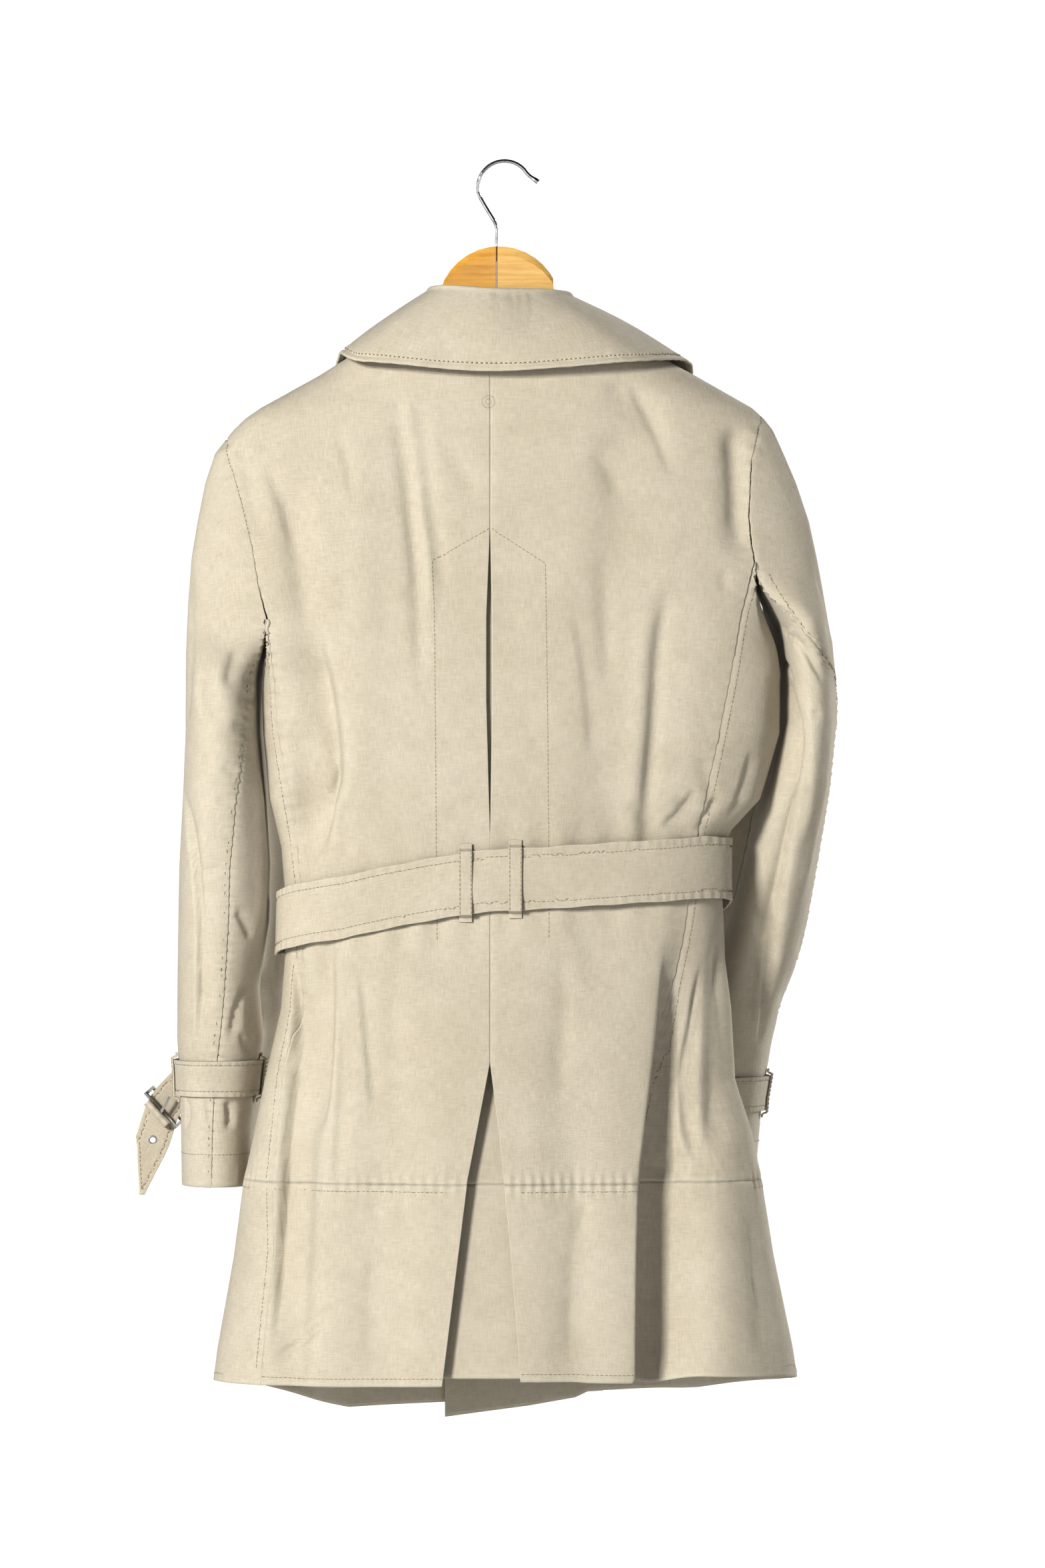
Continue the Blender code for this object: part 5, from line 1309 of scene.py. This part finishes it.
def cuff_tail():
    """The loose end of the left strap, with a round hole for its eyelet."""
    grid = []
    for share in np.union1d(BAND_SHARES, np.linspace(-0.25, 0.25, 17)):
        reach = TAIL_END("reach", share)
        round_hole = TAIL_HOLE_AT + np.linspace(-0.0052, 0.0052, 17) * min(1, reach / 0.0057)
        wanted = np.sort(np.concatenate([np.linspace(0, TAIL_HOLE_AT + reach, 56), round_hole]))
        sink = puckered(share, wanted, STRAP_STITCH, 0.9) + 0.0008 * np.sin(wanted * 75 + share)
        row = tail_point(share, wanted, sink)
        row[np.hypot(share * STRAP_WIDTH / 2, wanted - TAIL_HOLE_AT) < EYELET_HOLE + 0.0001] = np.nan
        grid.append(row)
    inside = np.nan_to_num(grid) - BACKWARD * 0.05
    obj = panel("cuff_tail_left", grid, ["cuff_left_buckle"], inside, thickness=HEAVY * 0.8)
    for edge in (-STRAP_STITCH, STRAP_STITCH):
        end = TAIL_HOLE_AT + TAIL_END("reach", edge) - 0.0036
        sew(obj, tail_point(edge, np.linspace(0.004, end, 60)), BACKWARD)
    shares = np.linspace(-STRAP_STITCH, STRAP_STITCH, 30)
    slant = [tail_point(share, TAIL_HOLE_AT + TAIL_END("reach", share) - 0.0046) for share in shares]
    sew(obj, slant, BACKWARD)
    eyelet(tail_point(0, TAIL_HOLE_AT), obj)
    turned_end(obj)


def turned_end(carrier):
    """The short turned-over end of the strap, along the buckle."""
    long = np.array(BUCKLE_LONG)
    down = np.array([long[2], 0, -long[0]])
    middle = TAIL[TAIL_BUCKLE]
    turn = spline(TURNED_END, 19)
    grid = []
    for share in np.linspace(-0.5, 0.5, 30):
        row = middle + long * share * TURNED_LONG + down * turn[:, :1]
        row[:, 1] = turn[:, 1] - 0.0012 * (1 - 4 * share ** 2) - 0.0003 * math.sin(share * 19)
        grid.append(row)
    panel("cuff_strap_end", grid, [carrier.name], np.array(grid) - BACKWARD * 0.05, stands_for=False)


def eyelet(centre, carrier):
    """A rolled metal ring through the tail."""
    bpy.ops.mesh.primitive_torus_add(
        location=tuple(centre + BACKWARD * 0.0002), rotation=(math.pi / 2, 0, 0),
        major_segments=48, major_radius=(EYELET_HOLE + EYELET_RIM) / 2,
        minor_segments=12, minor_radius=(EYELET_RIM - EYELET_HOLE) / 2)
    ring = bpy.context.active_object
    ring.name = "eyelet"
    ring.scale = (1, 1, 0.7)
    ring.data.materials.append(STEEL_LOOK)
    ring.data.shade_smooth()
    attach(ring, "root")
    GOES_WITH[carrier.name] = [ring]


for build in (body_panels, sleeves, underlays, collar, lapels, belt_loops, belt, cuff_straps, cuff_tail):
    build()


# Sewing

STITCH_PITCH = 0.0035
STITCH_LONG = 0.0026
STITCH_THICK = 0.00055
COLLAR_STITCH_THICK = 0.0009
COLLAR_HOLE_SHADE = 0.0012  # size of the dark pieces between the collar's stitches, painted shade in its needle holes
BAND_STITCH_DOWN = 0.0055  # stitch line below the seam of the hem band
HEM_STITCH_UP = 0.0062
CUFF_STITCH_UP = 0.0255
EDGE_STITCH_IN = 0.0047  # stitch line beside the fronts' free edges
BESIDE_FRONT, BESIDE_BACK = 0.0026, 0.0024  # stitch lines beside the seam between back and front
# Corners (x, z) of the stitching beside the pleat, from its upper end down, in millimetres
PLEAT_STITCH = {"left": "-10.5 -286.7; -53 -312; -52 -390; -50.5 -608",
                "right": "-11.3 -286.7; 30 -314.5; 31.8 -443; 32.8 -607"}


def body_sewing():
    """Stitch lines on the body panels, roughly placed: each is then laid on its piece."""
    found = []

    def add(node, path):
        found.append((bpy.data.objects[node + "_finish"], path, unit(path - beside_axis(path))))

    for label, corners in PLEAT_STITCH.items():
        corners = np.array(numbers(corners)) / 1000
        path = np.concatenate([np.linspace(corners[0], corners[1], 8), dense(corners[1:])[1:]])
        add("back_" + label, on_face(-1, *path.T))
    for side, label in SIDES:
        corner = CENTRE_X + side * corner_offset(side, np.array([-0.93]))[0]
        spans = ((-1, "band_back_", centre_x(side, -0.93), seam_x(side, -0.93)),
                 (1, "band_front_", corner, free_edge_x(side, -0.9)))
        for level in (BAND_Z - BAND_STITCH_DOWN, None):
            for face, node, start, end in spans:
                x = np.linspace(start, end, 60)
                z = np.full(60, level) if level else hem_z(side, x, face * HEM_TURN) + HEM_STITCH_UP
                add(node + label, on_face(face, x, z))
            z = hem_z(side, CENTRE_X + side * 0.2, np.linspace(-0.05, 0.05, 40)) + HEM_STITCH_UP
            z = np.full(40, level) if level else z
            add("band_front_" + label, side_points(side, np.linspace(0.02, 0.98, 40), z))
        for low, high, node in ((-0.935, BAND_Z - 0.002, "band_front_"),
                                (BAND_Z + 0.002, ARMPIT_Z[side] - 0.004, "front_")):
            z = np.arange(low, high, 0.01)
            add(node + label, on_face(-1, seam_x(side, z) + side * BESIDE_FRONT, z))
        z = np.arange(ARMPIT_Z[side] + 0.004, -0.215 if side < 0 else -0.203, 0.008)
        add("back_" + label, on_face(-1, seam_x(side, z) - side * BESIDE_BACK, z))
        for low, high, node in ((-0.965 if side < 0 else -0.975, BAND_Z - 0.002, "band_front_"),
                                (BAND_Z + 0.002, BREAK_Z - 0.004, "front_")):
            z = np.arange(low, high, 0.01)
            x = free_edge_x(side, z) + side * EDGE_STITCH_IN
            path = on_face(1, x, z)
            path[:, 1] -= overlap(side, x, z)
            add(node + label, path)
        found += sleeve_sewing(side, label)
    return found


def sleeve_sewing(side, label):
    """Stitch lines beside a sleeve's hind seam and round its cuff."""
    rows = SLEEVE[side]
    z = np.arange(rows["z"][0] + 0.004, ARMPIT_Z[side] - 0.002, 0.008)
    level = np.full(60, rows["z"][0] + CUFF_STITCH_UP)
    hind, fore = rows("hind", level[0]), rows("fore", level[0])
    found = []
    for node, angles, z in (("top_sleeve_", rows("hind", z) + 5.0, z),
                            ("top_sleeve_", np.linspace(hind, fore, 60), level),
                            ("under_sleeve_", np.linspace(hind, fore - 360, 60), level)):
        path = sleeve_ring(side, angles, z)
        middle = np.stack([(rows("outer", z) + rows("inner", z)) / 2, rows("mid", z), z], axis=-1)
        found.append((bpy.data.objects[node + label + "_finish"], path, unit(path - middle)))
    return found


def circle(sides, radius, first, second):
    """Points round a circle in the plane of two directions."""
    turns = np.arange(sides)[:, None] * 2 * math.pi / sides
    return radius * (np.cos(turns) * first + np.sin(turns) * second)


def bar(start, end, tip, ring):
    """A bar with a ring of points at both ends and its tips beyond them, as vertices and faces."""
    sides = len(ring)
    verts = np.concatenate([[start - tip], start + ring, end + ring, [end + tip]])
    faces = []
    for k in range(sides):
        n = (k + 1) % sides
        faces += [(0, 1 + n, 1 + k), (1 + k, 1 + n, 1 + sides + n, 1 + sides + k),
                  (1 + sides + k, 1 + sides + n, 1 + 2 * sides)]
    return verts, faces


def round_bar(start, end, radius, sides=8):
    along = unit(end - start)
    across = unit(np.cross(along, [0.31, 0.87, 0.39]))
    return bar(start, end, along * radius, circle(sides, radius, across, np.cross(along, across)))


def joined(name, parts, look):
    """Many small shapes as one piece."""
    verts, faces, count = [], [], 0
    for some, their_faces in parts:
        verts.append(some)
        faces += [tuple(i + count for i in face) for face in their_faces]
        count += len(some)
    mesh = bpy.data.meshes.new(name)
    mesh.from_pydata(np.concatenate(verts).tolist(), [], faces)
    mesh.shade_smooth()
    mesh.materials.append(look)
    obj = linked(name, mesh)
    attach(obj, "root")
    return obj


def lay_stitches():
    """Every stitch as a short rounded bar on its piece, and dark pieces along the collar that paint the shade
    in its needle holes.
    """
    shape, faces = bar(np.array([-0.38, 0, 0]), np.array([0.38, 0, 0]), np.array([0.12, 0, 0]),
                       circle(5, 0.5, np.array([0, 1, 0]), np.array([0, 0, 1])))
    regions, trees, hole_shades = {}, {}, []
    for piece, path, outward in SEWING + body_sewing():
        if piece.name not in trees:
            trees[piece.name] = BVHTree.FromPolygons([v.co for v in piece.data.vertices],
                                                     [p.vertices[:] for p in piece.data.polygons])
        on_collar = piece.name.startswith("collar")
        thick = COLLAR_STITCH_THICK if on_collar else STITCH_THICK
        length = length_along(path)
        for k in range(int((length[-1] - 0.001) / STITCH_PITCH)):
            place = 0.0005 + STITCH_PITCH * (k + 0.5)
            out = np.array([np.interp(place, length, column) for column in outward.T])
            hits = []
            for at in (place - STITCH_LONG / 2, place + STITCH_LONG / 2):
                point = np.array([np.interp(at, length, column) for column in path.T])
                hits.append(trees[piece.name].find_nearest(Vector(point + out * 0.003), 0.02))
            if hits[0][0] is None or hits[1][0] is None:
                continue
            start, end = np.array(hits[0][0]), np.array(hits[1][0])
            reach = np.linalg.norm(end - start)
            if not 0.5 * STITCH_LONG < reach < 1.6 * STITCH_LONG:
                continue
            along = (end - start) / reach
            normal = np.array(hits[0][1]) + np.array(hits[1][1])
            normal = unit(normal - along * (normal @ along))
            axes = np.array([along * reach, np.cross(normal, along) * thick, normal * thick])
            middle = (start + end) / 2 + normal * thick * 0.10
            regions.setdefault(piece.name, []).append(middle + shape @ axes)
            if on_collar:
                hole_shades.append((end + shape * COLLAR_HOLE_SHADE, faces))
    for name, stitches in regions.items():
        # The collar's stitches get the painted-light copy of the thread, and all others get the painted-shade
        # copy.
        look = THREAD_LIT_LOOK if name.startswith("collar") else THREAD_SHADED_LOOK
        label = "stitches_" + name[:-len("_finish")]
        obj = joined(label, [(verts, faces) for verts in stitches], look)
        GOES_WITH.setdefault(name, []).append(obj)
    # The collar's dark pieces paint the shade in its needle holes.
    GOES_WITH["collar_finish"].append(joined("stitch_holes_collar", hole_shades, NEEDLE_HOLE_SHADE_LOOK))


HOLE_APART = 0.0016  # half the distance between neighbouring holes of a button
HOLE_RADIUS = 0.0009
BUTTON_THREAD = 0.00038  # radius


def button_details():
    """Four holes in each button, filled with near-black pieces as painted shade, and the thread through them.
    """
    threads, hole_shades = [], []
    for name, node in frame["nodes"].items():
        if not name.startswith("button"):
            continue
        points = np.array([vertex.co[:] for vertex in node.data.vertices])
        x, z = ((points[:, axis].min() + points[:, axis].max()) / 2 for axis in (0, 2))
        near = np.hypot(points[:, 0] - x, points[:, 2] - z) < 0.0065
        y = points[near, 1].max() if near.any() else points[:, 1].max()
        for across in (-HOLE_APART, HOLE_APART):
            ends = [np.array([x + across, y + 0.0001, z + rise]) for rise in (-HOLE_APART, HOLE_APART)]
            threads.append(round_bar(*ends, BUTTON_THREAD))
            for end in ends:
                hole_shades.append(round_bar(end - [0, 0.0006, 0], end - [0, 0.00018, 0], HOLE_RADIUS, 12))
    joined("button_thread", threads, THREAD_SHADED_LOOK)
    # The pieces in the buttons' holes are painted shade.
    joined("button_holes", hole_shades, HOLE_SHADE_LOOK)


lay_stitches()
button_details()


# Pieces that keep the solid's own mesh

def look_of(name):
    # The hanger halves get the painted-shade and the painted-light copy of the wood.
    if name.startswith("hanger"):
        return WOOD_LEFT_SHADED if name.endswith("left") else WOOD_RIGHT_LIT
    if name == "hook":
        return CHROME_LOOK
    return BUTTON_LOOK if name.startswith("button") else STEEL_LOOK


covered = {obj.name[:-len("_finish")] for obj, _ in PANELS}
for name, node in frame["nodes"].items():
    if name in covered:
        continue
    if not node.material_slots:
        node.data.materials.append(look_of(name))
    for slot in node.material_slots:
        slot.material = look_of(name)


# Set

MIDDLE = (0, 0, -0.5)
WARM = (1.0, 0.985, 0.95)
FLOOR_Z = -2.0
FLOOR_RADIUS = 7.2
SKY = ((0.36, 0.70), (0.437, 1.0), (0.563, 1.0), (0.59, 0.03))  # height from 0 (down) to 1 (up), brightness


def area_light(name, place, size, power):
    data = bpy.data.lights.new(name, "AREA")
    data.shape = "RECTANGLE"
    data.size, data.size_y = size
    data.energy = power
    data.color = WARM
    obj = linked(name, data)
    obj.location = place
    obj.rotation_euler = (Vector(MIDDLE) - Vector(place)).to_track_quat("-Z", "Y").to_euler()


def floor():
    """A pale disc far below the coat."""
    rim = circle(96, FLOOR_RADIUS, np.array([1, 0, 0]), np.array([0, 1, 0])) + (0, 0, FLOOR_Z)
    mesh = bpy.data.meshes.new("floor")
    mesh.from_pydata(rim.tolist(), [], [tuple(range(len(rim)))])
    mesh.materials.append(material("floor", lambda *_: {"Base Color": (0.76, 0.76, 0.752), "Roughness": 0.9}))
    linked("floor", mesh)


def world():
    """A white studio: bright round the horizon and below it, dark overhead."""
    made = bpy.data.worlds.new("studio")
    made.use_nodes = True
    tree = made.node_tree
    height = make(tree, "TexCoord", {}, "Generated").axis("Z").to(-1, 1, 0, 1)
    shades = make(tree, "ValToRGB", {0: height})
    ramp = shades.socket.node.color_ramp
    ramp.elements.new(0.435)
    ramp.elements.new(0.565)
    for element, (place, bright) in zip(ramp.elements, SKY):
        element.position = place
        element.color = (bright, bright, bright, 1)
    fill(tree.nodes["Background"], {"Strength": 1.02, "Color": shades})
    bpy.context.scene.world = made


def camera():
    data = bpy.data.cameras.new("camera")
    data.sensor_width = 36
    data.lens = 147.17
    data.clip_end = 200
    obj = linked("camera", data)
    obj.location = (0.014, -5.0, -0.4846)
    obj.rotation_euler = (math.pi / 2, 0, 0)
    bpy.context.scene.camera = obj


floor()
world()
camera()
area_light("key", (-5.3, -8.2, 2.4), (1.8, 2.2), 1230)
area_light("back", (6.5, 5.5, 2.0), (2.6, 2.6), 620)
view = bpy.context.scene.view_settings
view.view_transform = "Standard"
view.exposure = 0.10
view.gamma = 0.80

LEAST_FLAT = 0.0102  # the loops with one turned edge
for obj, hangs_from in PANELS:
    width, length = (max(size, LEAST_FLAT) for size in obj["flat"])
    area = max(min(obj["area"], width * length), 0.3 * width * length)
